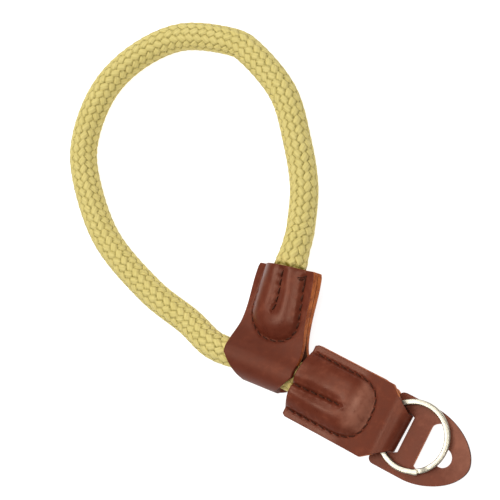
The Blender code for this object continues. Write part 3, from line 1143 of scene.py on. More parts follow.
    def u_seam(self) -> Seam:
        """Lay the seam round the pocket.

        Returns:
            The seam.
        """
        half = self.pocket_width / 2.0
        radius = half * self.seam_reach
        turn = np.linspace(0.0, math.pi, 61)
        power = 2.0 / self.pocket_power
        w = radius * np.sign(np.cos(turn)) * np.abs(np.cos(turn)) ** power
        a = self.pocket_length - half + radius * np.sin(turn) ** power
        line = np.column_stack([a, w])
        return Seam(np.vstack([[self.seam_start, radius], line, [self.seam_start, -radius]]))

    def middle_seam(self) -> Seam:
        """Return the short seam between the two humps."""
        return Seam(np.array(self.centre_seam), sunk=0.0)

    def build_leather(self) -> bpy.types.Object:
        """Build the strip: a fine grid on its inner surface, a wall laid over the rope, rounded edges.

        Returns:
            The piece, with its handled attribute.
        """
        bpy.ops.object.select_all(action="DESELECT")
        bpy.ops.mesh.primitive_grid_add(x_subdivisions=self.rows, y_subdivisions=self.columns, size=2.0)
        piece = added()
        piece.name = piece.data.name = f"{self.name}_leather_folded"
        grid = points_of(piece)
        path, across = self.spread(grid[:, 0]), self.spread(grid[:, 1])
        inner = self.inner(path, across)
        set_points(piece, inner)
        add_slots(piece, 3)
        add_wall(piece, self.leather, 1.0)
        points = points_of(piece)
        outer = np.linalg.norm(points - np.tile(inner, (2, 1)), axis=1) > 0.5 * self.leather
        points[outer] = self.outer(path, across)
        set_points(piece, points)
        rub_sheen_and_matt = np.zeros(len(points))
        rub_sheen_and_matt[outer] = self.rub_sheen_and_matt(path, across)
        set_attribute(piece, "rub_sheen_and_matt", rub_sheen_and_matt)
        self.darken_fold_edge(piece)
        round_edges(piece, self.edge_radius, 2)
        shade(piece, 55.0)
        return piece

    # The cut edge faces near the fold take the outer side's darker colour
    def darken_fold_edge(self, piece: bpy.types.Object) -> None:
        """Give the cut edge round the fold the colour of the outer side.

        Args:
            piece: The strip, with its cut edge in slot 2 and its outer side in slot 0.
        """
        way = np.array([math.cos(self.angle), math.sin(self.angle), 0.0])
        start = np.array([*self.fold_point, 0.0]) + ORIGIN_SHIFT
        for polygon in piece.data.polygons:
            if polygon.material_index == 2 and (np.array(polygon.center) - start) @ way < self.dark_edge_reach:
                polygon.material_index = 0

    def spread(self, share: Array) -> Array:
        """Return grid coordinates with a wider last cell, which leaves room for the rounded edge."""
        return np.where(np.abs(share) > 0.9995, share, share * (1.0 - self.edge_cell))

    def build_stitches(self) -> bpy.types.Object:
        """Sew the strip: one stitch is laid along both seams of both layers, and the loose ends on top.

        Returns:
            The piece.
        """
        thread = Thread()
        template, faces = thread.stitch()
        points: list[Array] = []
        quads: list[Array] = []
        for seam in (self.u_seam(), self.middle_seam()):
            for number in range(int(seam.length() / seam.pitch)):
                way = (number + 0.5) * seam.pitch + template[:, 0]
                spots, heading = seam.at(way)
                aside = np.column_stack([-heading[:, 1], heading[:, 0]])
                spots = spots + aside * template[:, 1:2]
                for layer in Layer:
                    quads.append(faces + sum(map(len, points)))
                    height = self.cover(*spots.T) + template[:, 2] - seam.sunk
                    points.append(self.place(*spots.T, layer.value * height))
        for line in self.loose_ends:
            steps = np.linspace(0.0, len(line) - 1.0, thread.loose_rings)
            a, w, lift = (np.interp(steps, range(len(line)), part) for part in np.array(line).T * MM)
            end, sides = thread.loose_end(self.place(a, w, self.cover(a, w) + lift))
            quads.append(sides + sum(map(len, points)))
            points.append(end)
        piece = mesh_piece(f"{self.name}_stitches", np.vstack(points), np.vstack(quads))
        outwards(piece)
        shade(piece, 60.0)
        return piece


@dataclass
class CameraEnd(FoldedStrip):
    """The folded strip on the ring's end of the rope."""

    name: str = "camera_end"
    length: float = 34.6 * MM
    fold_radius: float = 2.4 * MM
    pocket_length: float = 27.6 * MM
    pocket_width: float = 20.2 * MM
    pocket_power: float = 2.6
    groove_length: float = 18.0 * MM
    heights: list[tuple[float, float]] = field(default_factory=lambda: [
        (0.0, 7.3 * MM), (16.56 * MM, 6.2 * MM), (34.6 * MM, 4.4 * MM)])
    fold_point: tuple[float, float] = (0.0, -34.6 * MM)
    angle: float = math.radians(90.0)
    centre_seam: tuple[tuple[float, float], tuple[float, float]] = (
        (0.3 * MM, 1.8 * MM), (18.6 * MM, 0.9 * MM))
    fold_rows: float = 0.15
    open_length: float = 1.0 * MM
    early: float = 2.4 * MM
    hollow: float = 0.9 * MM
    corner_radius: float = 0.7 * MM
    fold_reach: tuple[float, float] = (1.11, -0.06)
    dark_edge_reach: float = 0.6 * MM
    cut_back: float = 1.2 * MM
    rub: float = 1.0
    matt: float = 1.0
    fold_matt: float = 0.2


@dataclass
class Slider(FoldedStrip):
    """The folded strip whose fold slides on the rope's other limb."""

    name: str = "slider"
    length: float = 33.1 * MM
    fold_radius: float = 5.3 * MM
    pocket_length: float = 24.0 * MM
    pocket_width: float = 18.1 * MM
    pocket_power: float = 2.1
    groove_length: float = 15.0 * MM
    heights: list[tuple[float, float]] = field(default_factory=lambda: [
        (0.0, 7.6 * MM), (33.1 * MM, 7.3 * MM)])
    fold_point: tuple[float, float] = (
        -14.1 * MM * math.sin(math.radians(6.0)), 14.1 * MM * math.cos(math.radians(6.0)))
    angle: float = math.radians(13.2)
    centre_seam: tuple[tuple[float, float], tuple[float, float]] = (
        (0.3 * MM, -2.4 * MM), (14.8 * MM, -0.7 * MM))
    fold_rows: float = 0.25
    twist: float = math.radians(22.0)
    skew: float = math.radians(7.2)
    drawn_in: float = 1.2 * MM
    corner_radius: float = 0.5 * MM
    hollow: float = 0.8 * MM
    lip: float = 0.9 * MM
    splay: float = 0.078
    dark_edge_reach: float = 2.5 * MM
    flare: float = 0.28
    loose_ends: tuple[tuple[tuple[float, float, float], ...], ...] = (
        ((0.8, -10.2, -0.1), (1.1, -9.6, 0.2), (1.8, -8.8, 0.25), (2.2, -7.9, 0.4)),
        ((0.9, -10.1, -0.1), (1.8, -9.6, 0.2), (2.5, -8.8, 0.2), (2.7, -8.2, 0.35)),
        ((1.2, -9.9, -0.1), (2.6, -9.7, 0.15), (4.2, -9.4, -0.1)))


# Braided rope


@dataclass
class Rope:
    """The braided cord: twelve yarns wind each way round a core, two over and two under.

    The points of its loop are shares of the loop's width and reach, measured from the slider's tunnel.
    """

    slider: Slider
    camera_end: CameraEnd
    diameter: float = 10.0 * MM
    loop_width: float = 95.4 * MM
    loop_reach: float = 107.7 * MM
    loop_points: tuple[tuple[float, float], ...] = (
        (0.498, 0.112), (0.632, 0.164), (0.768, 0.256), (0.906, 0.378), (0.989, 0.542), (0.999, 0.643),
        (0.938, 0.816), (0.800, 0.937), (0.632, 0.996), (0.440, 0.981), (0.297, 0.905), (0.134, 0.732),
        (0.040, 0.503), (0.007, 0.325))
    leaving: float = 8.0 * MM
    sag_share: float = 0.35
    tunnel_shares: tuple[float, ...] = (1.6, 0.75, 0.0, -0.7)
    # The yarns
    carriers: int = 12
    winding: float = 0.156 / MM
    middle_radius: float = 4.02 * MM
    swing: float = 0.42 * MM
    crossing_power: float = 2.2
    yarn_width: float = 2.34 * MM
    yarn_thickness: float = 1.16 * MM
    yarn_section: tuple[tuple[float, float], ...] = (
        (1.0, 0.0), (0.82, 0.84), (0.0, 1.0), (-0.82, 0.84), (-1.0, 0.0), (-0.6, -0.75), (0.0, -0.9),
        (0.6, -0.75))
    yarn_shift: float = 17.3
    squash: float = 0.06
    # dip_shade_gain and edge_shade set the painted shade: darker under the neighbouring yarns and towards
    # the sides
    dip_shade_gain: float = 1.15
    edge_shade: float = 0.1
    step: float = 0.68 * MM
    yarn_in_mouth: float = 9.0 * MM
    # The width of the painted shadow where the yarns go under the leather's lips
    lip_shadow_width: float = 0.6 * MM
    # The core
    core_radius: float = 3.7 * MM
    core_in_mouth: float = 12.0 * MM
    core_swell: float = 3.0 * MM
    core_tip: float = 1.6 * MM
    core_rings: int = 360
    core_sides: int = 20

    def knots(self) -> list[Vector]:
        """Work out the points that the free rope's centre line goes through.

        Returns:
            The points, from the slider's mouth to the camera end's.
        """
        slider, end = self.slider, self.camera_end
        tunnel = Vector((*slider.fold_point, 0.0)) + Vector(ORIGIN_SHIFT)
        ground = self.diameter / 2.0 + ORIGIN_SHIFT[2]
        mouth = Vector(slider.place(0.0, 0.0, 0.0))
        heading = (mouth - Vector(slider.place(slider.length, 0.0, 0.0))).normalized()
        loop = [Vector((tunnel.x + across * self.loop_width, tunnel.y + along * self.loop_reach, ground))
                for across, along in self.loop_points]
        sag = Vector((0.0, 0.0, self.sag_share * (ground - mouth.z)))
        threaded = [Vector(slider.place(slider.length, share * slider.width / 2.0, 0.0))
                    for share in self.tunnel_shares]
        return [mouth, mouth + self.leaving * heading + sag, *loop, *threaded,
                Vector(end.place(0.0, 0.0, 0.0))]

    def free_line(self) -> Array:
        """Draw the centre line from the slider's mouth to the camera end's, in fine steps.

        Returns:
            Its points, none of them nearer to the ground than the rope's radius.
        """
        points = self.knots()
        fine: list[Vector] = []
        padded = [2.0 * points[0] - points[1], *points, 2.0 * points[-1] - points[-2]]
        for before, start, end, after in zip(padded, padded[1:], padded[2:], padded[3:]):
            first = start + (end - before) / 6.0
            second = end - (after - start) / 6.0
            fine += geometry.interpolate_bezier(start, first, second, end, 25)[:-1]
        line = np.array([*fine, points[-1]])
        line[:, 2] = np.maximum(line[:, 2], self.diameter / 2.0 + ORIGIN_SHIFT[2])
        return line

    def route(self) -> "Route":
        """Lay the whole rope's route, with both ends in their pockets.

        Returns:
            The route.
        """
        first = self.slider.place(np.linspace(self.slider.rope_end(), 0.0, 40)[:-1], 0.0, 0.0)
        last = self.camera_end.place(np.linspace(0.0, self.camera_end.rope_end(), 44)[1:], 0.0, 0.0)
        return Route(np.vstack([first, self.free_line(), last]), self.slider, self.camera_end)

    def yarn_height(self, hand: Hand, number: int, angle: Array, way: Array) -> Array:
        """Work out how far a yarn stands out from the middle radius.

        Args:
            hand: The way that it winds.
            number: Which of its hand's yarns it is.
            angle: The angle round the rope.
            way: How far along the rope.

        Returns:
            From -1, under its neighbours, to 1, over them.
        """
        own = 2.0 * math.pi * number / self.carriers
        crossing = angle + hand.value * self.winding * way
        wave = np.cos(self.carriers / 4.0 * (crossing + own) - math.pi / 4.0)
        return hand.value * np.tanh(self.crossing_power * wave) / math.tanh(self.crossing_power)

    def build_yarns(self, route: "Route") -> bpy.types.Object:
        """Wind the twenty-four yarns over the visible rope.

        Args:
            route: The rope's route.

        Returns:
            The piece, with a UV map along the yarns and a dip_shade attribute of painted shade.
        """
        start = route.first_mouth - self.yarn_in_mouth
        end = route.last_mouth + self.yarn_in_mouth
        ways = np.linspace(start, end, int((end - start) / self.step))
        section = np.array(self.yarn_section)
        sides = len(section)
        across = np.tile(section[:, 0], len(ways)) * self.yarn_width / 2.0
        up = np.tile(section[:, 1], len(ways)) * self.yarn_thickness / 2.0
        edge = 1.0 - np.tile(np.maximum(section[:, 1], 0.0), len(ways))
        slope = math.atan(self.winding * self.middle_radius)
        points, dip_shades, alongs = [], [], []
        for hand in Hand:
            for number in range(self.carriers):
                way = np.repeat(ways, sides)
                angle = hand.value * self.winding * way + 2.0 * math.pi * number / self.carriers
                way = way - hand.value * math.sin(slope) * across
                angle = angle + math.cos(slope) * across / self.middle_radius
                height = self.yarn_height(hand, number, angle, way)
                thick = 1.0 - self.squash * (1.0 - height)
                radius = self.middle_radius + self.swing * height + up * thick
                points.append(route.surface(way, angle, radius))
                # Painted shade: dark where the yarn is under its neighbours and towards its sides, and a
                # painted shadow by the leather's lips
                dip_shade = 1.0 - self.dip_shade_gain * height + self.edge_shade * edge + self.lip_shadow(route, way)
                dip_shades.append(np.clip(dip_shade, 0.0, 1.0))
                along = ways / math.cos(slope) / MM + self.yarn_shift * number
                alongs.append(np.repeat(along, sides))
        faces, shares = tube_faces(len(ways), sides, len(points))
        piece = mesh_piece("braided_rope", np.vstack(points), faces)
        self.lay_uv(piece, faces, shares, np.concatenate(alongs))
        set_attribute(piece, "dip_shade", np.concatenate(dip_shades))
        shade(piece, 80.0)
        return piece

    def lip_shadow(self, route: "Route", way: Array) -> Array:
        """Work out the painted shadow on the yarn where it goes under the leather's lips.

        Args:
            route: The rope's route.
            way: How far along the rope.

        Returns:
            From 0 to 1.
        """
        first = way - route.first_mouth - self.slider.lip - self.lip_shadow_width / 2.0
        last = route.last_mouth - way - self.camera_end.lip - self.lip_shadow_width / 2.0
        return np.exp(-((np.minimum(first, last) / self.lip_shadow_width) ** 2))

    @staticmethod
    def lay_uv(piece: bpy.types.Object, faces: Array, shares: Array, along: Array) -> None:
        """Give the yarns their UV map.

        Args:
            piece: The yarns.
            faces: Their quads.
            shares: The share of the way round at each corner.
            along: The way along the yarn at each point, in mm.
        """
        layer = piece.data.uv_layers.new(name="yarn")
        uv = np.stack([shares, along[faces]], axis=-1)
        layer.data.foreach_set("uv", uv.ravel())

    def build_core(self, route: "Route") -> bpy.types.Object:
        """Model the core, which swells to the rope's full thickness where the yarns end in the pockets.

        Args:
            route: The rope's route.

        Returns:
            The piece.
        """
        angle = np.linspace(0.0, 2.0 * math.pi, self.core_sides, endpoint=False)
        angle = np.tile(angle, self.core_rings)
        way = np.repeat(np.linspace(0.0, route.length, self.core_rings), self.core_sides)
        braided = ease((way - route.first_mouth + self.core_in_mouth) / self.core_swell)
        braided = braided * ease((route.last_mouth + self.core_in_mouth - way) / self.core_swell)
        radius = self.core_radius + (1.0 - braided) * (self.diameter / 2.0 - self.core_radius)
        taper = np.clip(np.minimum(way, route.length - way) / self.core_tip, 0.0, 1.0)
        radius = radius * np.sqrt(np.clip(1.0 - (1.0 - taper) ** 2, 0.04, 1.0))
        faces, _ = tube_faces(self.core_rings, self.core_sides)
        piece = mesh_piece("rope_core", route.surface(way, angle, radius), faces)
        shade(piece, 60.0)
        return piece


@dataclass
class Route:
    """The rope's centre line, with the frame of its section at each place."""

    line: Array
    first_strip: FoldedStrip
    last_strip: FoldedStrip
    upright_after: float = 20.0 * MM
    tail_narrowing: float = 0.4
    tail_share: float = 0.12
    room_shares: tuple[float, ...] = (0.3, 0.65, 1.0)
    least_height: float = 1.2 * MM
    # Worked out from the above
    steps: Array = field(init=False)
    length: float = field(init=False)
    first_mouth: float = field(init=False)
    last_mouth: float = field(init=False)
    side: Array = field(init=False)
    up: Array = field(init=False)

    def __post_init__(self) -> None:
        """Work out the way along, the two mouths and the section's frames."""
        legs = np.linalg.norm(np.diff(self.line, axis=0), axis=1)
        self.steps = np.concatenate([[0.0], np.cumsum(legs)])
        self.length = float(self.steps[-1])
        self.first_mouth = self.first_strip.rope_end()
        self.last_mouth = self.length - self.last_strip.rope_end()
        heading = np.gradient(self.line, self.steps, axis=0)
        heading /= np.linalg.norm(heading, axis=1)[:, None]
        roll = float(self.first_strip.roll(0.0))
        turn = self.first_strip.angle
        aside = math.sin(roll)
        tilted = np.array([-math.sin(turn) * aside, math.cos(turn) * aside, math.cos(roll)])
        share = 1.0 - ease((self.steps - self.first_mouth) / self.upright_after)
        up = share[:, None] * tilted + (1.0 - share[:, None]) * np.array([0.0, 0.0, 1.0])
        side = np.cross(up, heading)
        self.side = side / np.linalg.norm(side, axis=1)[:, None]
        self.up = np.cross(heading, self.side)

    def sample(self, track: Array, way: Array) -> Array:
        """Return a track of the route at places along it."""
        return np.column_stack([np.interp(way, self.steps, part) for part in track.T])

    def surface(self, way: Array, angle: Array, radius: Array) -> Array:
        """Place points of the rope's surface, pressed flat where they are in a pocket.

        Args:
            way: How far along the rope.
            angle: The angle round it.
            radius: The distance from its centre line while it is round.

        Returns:
            The points, one row each.
        """
        side, up = radius * np.cos(angle), radius * np.sin(angle)
        first = (self.first_strip, self.first_mouth - way, 1.0)
        last = (self.last_strip, way - self.last_mouth, -1.0)
        for strip, a, sign in (first, last):
            near = a > -strip.flare_length
            widened = 1.0 + strip.pressing(a) * (strip.pressed_width / strip.rope_diameter - 1.0)
            flare = 1.0 + strip.flare * ease((a + strip.flare_length) / strip.flare_length)
            before_end = strip.rope_end() + CLEARANCE - a
            tail = ease(before_end / (self.tail_share * strip.pocket_length))
            narrowing = 1.0 - self.tail_narrowing * (1.0 - tail)
            w = sign * side * np.maximum(widened, flare) * narrowing
            room = np.min([strip.pocket(a, share * w) for share in self.room_shares], axis=0) - CLEARANCE
            room = np.where(a > -strip.press_lead, room, 1.0)
            high = (strip.rope_diameter / 2.0) ** 2 - side**2
            full = np.sqrt(np.maximum(high, self.least_height**2))
            up = np.where(near, up * np.minimum(1.0, room / full), up)
            side = np.where(near, sign * w, side)
        aside = self.sample(self.side, way) * side[:, None]
        return self.sample(self.line, way) + aside + self.sample(self.up, way) * up[:, None]


# Split ring


@dataclass(frozen=True)
class PadPlane:
    """The plane of the pad's upper face, which the ring lies on."""

    strap_end: float = -34.6 * MM
    across: float = -0.55 * MM
    thickness: float = 1.5 * MM
    length: float = 31.5 * MM
    held: float = 2.6 * MM
    strap_leather: float = 2.0 * MM

    def matrix(self) -> Matrix:
        """Work out where the plane lies: it slopes from the strap's lower layer down to the ground.

        Returns:
            The plane's matrix, x across and y along, from the fold's axis.
        """
        lift = self.strap_leather + CLEARANCE
        slope = math.asin(lift / (self.length - self.held))
        place = Matrix.Translation(Vector((self.across, self.strap_end, lift)) + Vector(ORIGIN_SHIFT))
        return place @ Matrix.Rotation(slope, 4, "X") @ Matrix.Translation((0.0, 0.0, self.thickness))


@dataclass
class SplitRing:
    """Flat wire in two turns, crossing from the lower turn to the upper one."""

    plane: PadPlane
    diameter: float = 24.4 * MM
    wire_width: float = 1.8 * MM
    wire_height: float = 0.85 * MM
    coil_gap: float = 0.1 * MM
    split_angle: float = math.radians(-132.0)
    tip_angle: float = math.radians(15.0)
    tip_spread: float = 0.35 * MM
    tip_bend: float = math.radians(14.0)
    crossing_share: float = 1.6
    offset: float = 8.15 * MM
    across: float = 0.85 * MM
    steps: int = 300
    # The rise of a turn while the wire is wound, which tells the turns apart
    pitch: float = 0.1

    def build(self) -> bpy.types.Object:
        """Screw the wire's section round twice and press the turns together.

        Returns:
            The piece.
        """
        bpy.ops.object.select_all(action="DESELECT")
        bpy.ops.mesh.primitive_plane_add(size=1.0)
        piece = added()
        piece.name = piece.data.name = "split_ring_wire"
        bpy.ops.object.mode_set(mode="EDIT")
        bpy.ops.mesh.select_all(action="SELECT")
        bpy.ops.transform.resize(value=(self.wire_width, self.wire_height, 1.0))
        bpy.ops.mesh.bevel(offset=0.4 * self.wire_height, segments=5, affect="VERTICES")
        bpy.ops.mesh.delete(type="ONLY_FACE")
        bpy.ops.object.mode_set(mode="OBJECT")
        flat = points_of(piece)
        radius = (self.diameter - self.wire_width) / 2.0
        start = self.split_angle + self.tip_angle
        out = radius + flat[:, 0]
        section = np.column_stack([out * math.cos(start), out * math.sin(start), flat[:, 1]])
        set_points(piece, section)
        swept = 4.0 * math.pi - 2.0 * self.tip_angle
        apply_modifier(piece, "turns", "SCREW", angle=swept, axis="Z", iterations=1, steps=self.steps,
                       render_steps=self.steps, screw_offset=self.pitch * swept / (2.0 * math.pi),
                       use_merge_vertices=False, use_smooth_shade=True)
        points = points_of(piece)
        angle = np.arctan2(points[:, 1], points[:, 0]) - start
        turns = np.round((points[:, 2] / self.pitch * 2.0 * math.pi - angle) / (2.0 * math.pi))
        turn = angle + 2.0 * math.pi * turns
        spread = ease((turn - swept) / self.tip_bend + 1.0) * self.tip_spread / radius
        points[:, :2] *= 1.0 + spread[:, None]
        points[:, 2] += self.height(turn) - turn / (2.0 * math.pi) * self.pitch
        set_points(piece, points)
        self.close_tips(piece)
        lift = CLEARANCE + self.wire_height + self.coil_gap / 2.0
        middle = Vector((self.across - self.plane.across, -self.offset, lift))
        piece.data.transform(self.plane.matrix() @ Matrix.Translation(middle))
        shade(piece, 40.0)
        return piece

    def height(self, turn: Array) -> Array:
        """Work out the wire's height from the middle of the two turns.

        Args:
            turn: The angle from the lower turn's tip.

        Returns:
            The height.
        """
        start = 2.0 * math.pi - 2.0 * self.tip_angle
        rise = ease((turn - start) / (self.crossing_share * self.tip_angle))
        return (rise - 0.5) * (self.wire_height + self.coil_gap)

    @staticmethod
    def close_tips(piece: bpy.types.Object) -> None:
        """Close both tips of the wire and turn the faces outwards.

        Args:
            piece: The wire.
        """
        take(piece)
        bpy.ops.object.mode_set(mode="EDIT")
        bpy.ops.mesh.select_mode(type="EDGE")
        bpy.ops.mesh.select_all(action="DESELECT")
        bpy.ops.mesh.select_non_manifold()
        bpy.ops.mesh.fill_holes(sides=0)
        bpy.ops.object.mode_set(mode="OBJECT")
        outwards(piece)


# Ring pad


@dataclass
class RingPad:
    """The flat leather pad under the ring, with the fold's slot and the eyelet hole.

    Its outlines are points (x, y) on the pad's plane: x across, and y along, less than 0 from the fold's
    axis towards the nose.
    """

    plane: PadPlane
    width: float = 25.8 * MM
    straight: float = 13.0 * MM
    corner: float = 2.0 * MM
    nose_power: float = 1.8
    slot_width: float = 4.9 * MM
    slot_edge: float = -5.6 * MM
    slot_play: tuple[float, float] = (-5.35 * MM, -5.45 * MM)
    slot_insets: tuple[float, float] = (0.8 * MM, 0.7 * MM)
    waist: float = 13.4 * MM
    chamfer: float = 8.8 * MM
    bar_width: float = 6.3 * MM
    eyelet_radius: float = 10.5 * MM
    notch_radius: float = 3.3 * MM
    notch_offset: float = 19.4 * MM
    notch_across: float = -1.0 * MM
    ring_offset: float = 8.75 * MM
    ring_across: float = 0.85 * MM
    # The eyelet's two corners: one is cut straight, one is rounded through points in mm
    cut_turn: float = math.radians(9.0)
    cut_share: float = 0.87
    round_turn: float = math.radians(19.0)
    round_corner: tuple[tuple[float, float], ...] = (
        (7.9, -2.3), (7.1, -1.05), (6.8, -0.7), (6.4, -0.35), (6.0, -0.12), (5.5, 0.0))
    burnished: float = 0.4 * MM
    edge_radius: float = 0.22 * MM

    def outline(self) -> list[tuple[float, float]]:
        """Draw the pad's outline, anticlockwise from the middle of its nose.

        Returns:
            Its points.
        """
        half = self.width / 2.0
        held = self.plane.held
        nose = self.plane.length - self.straight
        turns = [math.pi / 2.0 * k / 10 for k in range(11)]
        corner = [(half - self.corner + self.corner * math.cos(turn),
                   held - self.corner + self.corner * math.sin(turn)) for turn in turns]
        power = 2.0 / self.nose_power
        arc = [math.pi / 2.0 * k / 48 for k in range(49)]
        right = [(half * max(0.0, math.cos(turn)) ** power,
                  held - self.straight - nose * math.sin(turn) ** power) for turn in arc]
        side = right[::-1] + corner
        return side + [(-x, y) for x, y in side[::-1] if x > DOUBLED]

    def slot(self) -> list[tuple[float, float]]:
        """Draw the slot that the strip's fold passes through.

        Returns:
            Its four corners.
        """
        narrow = self.waist / 2.0 + CLEARANCE
        wide = narrow + 0.2 * self.chamfer
        inner = self.slot_edge + self.slot_width
        left, right = self.slot_play
        far_left, far_right = self.slot_insets[0] - narrow, narrow - self.slot_insets[1]
        corners = [(far_left, left), (far_right, right), (wide, inner), (-wide, inner)]
        return [(x - self.plane.across, y) for x, y in corners]

    def eyelet(self) -> list[tuple[float, float]]:
        """Draw the D-shaped eyelet hole about the ring's middle, with its round notch.

        Returns:
            Its points.
        """
        chord = self.slot_edge - self.bar_width
        across = self.ring_across - self.plane.across
        tip = math.asin((-self.ring_offset - chord) / self.eyelet_radius)
        corner = self.cut_share * math.sqrt(self.eyelet_radius**2 - (self.ring_offset + chord) ** 2)
        outline = [(across - corner, chord)]
        middle = Vector((across, -self.ring_offset))
        for turn in np.linspace(tip + self.cut_turn - math.pi, -tip - self.round_turn, 121):
            way = Vector((math.cos(turn), math.sin(turn)))
            outline.append(tuple(middle + self.hole_reach(middle, way) * way))
        return outline + [(across + x * MM, chord + y * MM) for x, y in self.round_corner]

    def hole_reach(self, middle: Vector, way: Vector) -> float:
        """Work out how far the eyelet hole reaches in one direction.

        Args:
            middle: The ring's middle.
            way: The direction.

        Returns:
            The distance from the middle to the hole's edge.
        """
        notch = Vector((self.notch_across - self.plane.across, -self.notch_offset)) - middle
        reach = notch.dot(way)
        aside = notch.length_squared - reach**2
        if aside < self.notch_radius**2 and reach > 0.0:
            return max(self.eyelet_radius, reach + math.sqrt(self.notch_radius**2 - aside))
        return self.eyelet_radius

    def cut(self) -> bpy.types.Object:
        """Cut the flat pad from its outline and its two holes.

        Returns:
            The piece, a flat mesh whose faces look up.
        """
        curve = bpy.data.curves.new("pad_cut", "CURVE")
        curve.dimensions = "2D"
        curve.fill_mode = "BOTH"
        for outline in (self.outline(), self.slot(), self.eyelet()):
            spline = curve.splines.new("POLY")
            spline.points.add(len(outline) - 1)
            for spline_point, (x, y) in zip(spline.points, outline):
                spline_point.co = (x, y, 0.0, 1.0)
            spline.use_cyclic_u = True
        cut = bpy.data.objects.new("pad_cut", curve)
        bpy.context.scene.collection.objects.link(cut)
        take(cut)
        bpy.ops.object.convert(target="MESH")
        piece = added()
        piece.name = piece.data.name = "ring_pad_leather"
        outwards(piece)
        if piece.data.polygons[0].normal.z < 0.0:
            piece.data.flip_normals()
        return piece

    def build(self) -> bpy.types.Object:
        """Give the flat cut its thickness, its burnished rim and rounded edges.

        Returns:
            The piece.
        """
        piece = self.cut()
        add_slots(piece, 4)
        add_wall(piece, self.plane.thickness, -1.0)
        rim = Seam(np.array([*self.outline(), self.outline()[0]]))
        centres = np.array([polygon.center[:2] for polygon in piece.data.polygons])
        by_rim = rim.nearest(centres)[0] < self.burnished
        for polygon in piece.data.polygons:
            if by_rim[polygon.index] and abs(polygon.normal.z) < 0.5:
                polygon.material_index = 3
        round_edges(piece, self.edge_radius, 3)
        piece.data.transform(self.plane.matrix())
        shade(piece, 40.0)
        apply_modifier(piece, "even_shading", "WEIGHTED_NORMAL", keep_sharp=True)
        return piece


# Studio


@dataclass(frozen=True)
class Studio:
    """The camera, the lights and the floor."""

    target: tuple[float, float, float] = (-12.148 * MM, 10.427 * MM, 0.085 * MM)
    right: tuple[float, float, float] = (0.4404, -0.8020, -0.4035)
    upward: tuple[float, float, float] = (0.8974, 0.4067, 0.1713)
    back: tuple[float, float, float] = (0.0267, -0.4376, 0.8988)
    distance: float = 0.6
    lens: float = 123.98
    sensor: float = 36.0
    # Each softbox: across and along from the target, its power and its size
    softboxes: tuple[tuple[float, float, float, float], ...] = (
        (0.03, -0.36, 2.3, 0.3), (-0.17, 0.28, 3.8, 0.46), (0.5, 0.5, 3.8, 0.6))
    softbox_height: float = 0.9
    sky: float = 0.24
    sky_colour: tuple[float, float, float, float] = (1.0, 0.99, 0.97, 1.0)
    floor_size: float = 6.0

    def place_camera(self) -> None:
        """Set the camera at the photograph's viewing angle."""
        data = bpy.data.cameras.new("camera")
        data.lens = self.lens
        data.sensor_width = self.sensor
        camera = bpy.data.objects.new("camera", data)
        bpy.context.scene.collection.objects.link(camera)
        turn = Matrix((self.right, self.upward, self.back)).transposed().to_4x4()
        place = Vector(self.target) + self.distance * Vector(self.back)
        camera.matrix_world = Matrix.Translation(place) @ turn
        bpy.context.scene.camera = camera

    def light(self) -> None:
        """Hang the large softboxes overhead, in a bright room."""
        for across, along, power, size in self.softboxes:
            data = bpy.data.lights.new("softbox", "AREA")
            data.size = size
            data.energy = power
            softbox = bpy.data.objects.new("softbox", data)
            softbox.location = (self.target[0] + across, self.target[1] + along, self.softbox_height)
            away = Vector((across, along, self.softbox_height))
            softbox.rotation_euler = away.to_track_quat("Z", "Y").to_euler()
            bpy.context.scene.collection.objects.link(softbox)
        world = bpy.data.worlds.new("room")
        world.use_nodes = True
        background = world.node_tree.nodes["Background"]
        background.inputs["Color"].default_value = self.sky_colour
        background.inputs["Strength"].default_value = self.sky
        bpy.context.scene.world = world
        bpy.context.scene.view_settings.view_transform = "Standard"

    def lay_floor(self) -> None:
        """Lay the sheet of white paper that the strap lies on."""
        bpy.ops.object.select_all(action="DESELECT")
        bpy.ops.mesh.primitive_plane_add(size=self.floor_size, location=(0.0, 0.0, 0.0))
        floor = added()
        floor.name = "paper_floor"
        floor.data.materials.append(FloorFinish().build())


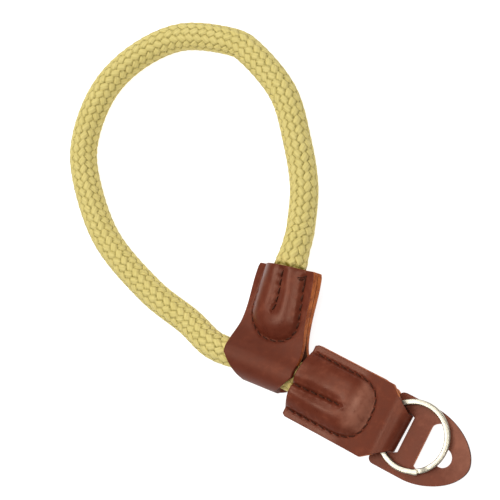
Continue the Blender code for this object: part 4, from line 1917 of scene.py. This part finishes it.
@dataclass
class WristStrap:
    """The whole strap."""

    slider: Slider = field(default_factory=Slider)
    camera_end: CameraEnd = field(default_factory=CameraEnd)
    plane: PadPlane = field(default_factory=PadPlane)

    def build_rope(self) -> None:
        rope = Rope(self.slider, self.camera_end)
        route = rope.route()
        yarns = rope.build_yarns(route)
        core = rope.build_core(route)
        dress(yarns, [BraidFinish().build()], "rope")
        dress(core, [CoreFinish().build()], "rope")
        start, end = route.first_mouth - rope.yarn_in_mouth, route.last_mouth + rope.yarn_in_mouth
        path = route.sample(route.line, np.linspace(start, end, 160))
        end - start
        log.info("rope: %.0f mm braided, %.0f mm in all", (end - start) / MM, route.length / MM)

    def build_leather(self) -> None:
        """Fold and stitch the two leather ends."""
        finishes = [LeatherFinish().build(), FleshSideFinish().build(), CutEdgeFinish().build()]
        thread = ThreadFinish().build()
        for strip, node in ((self.slider, "slider_leather"), (self.camera_end, "camera_end_leather")):
            dress(strip.build_leather(), finishes, node)
            dress(strip.build_stitches(), [thread], node)

    def build_ring(self) -> None:
        """Make the ring and the pad under it."""
        ring = SplitRing(self.plane).build()
        dress(ring, [NickelFinish().build()], "split_ring")
        # The pad leather gets lighter towards its nose: painted sheen
        pad_leather = LeatherFinish("pad_leather", tone(100, 44, 29), tone(120, 58, 40),
                                    tone(138, 76, 55), roughness=0.42, sheen_start=26.0 * MM,
                                    sheen_length=14.0 * MM)
        rim = LeatherFinish("burnished_rim", tone(70, 30, 19), tone(84, 38, 25), tone(96, 46, 31),
                            roughness=0.7, gloss=0.08)
        finishes = [pad_leather.build(), FleshSideFinish().build(), CutEdgeFinish().build(), rim.build()]
        dress(RingPad(self.plane).build(), finishes, "ring_pad")


def main() -> None:
    """Build the strap in order; the pieces log their faces as they are made."""
    logging.basicConfig(level=logging.INFO, format="%(message)s")
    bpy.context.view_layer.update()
    studio = Studio()
    studio.place_camera()
    strap = WristStrap()
    strap.build_rope()
    strap.build_leather()
    strap.build_ring()
    studio.lay_floor()
    studio.light()


if __name__ == "__main__":
    main()
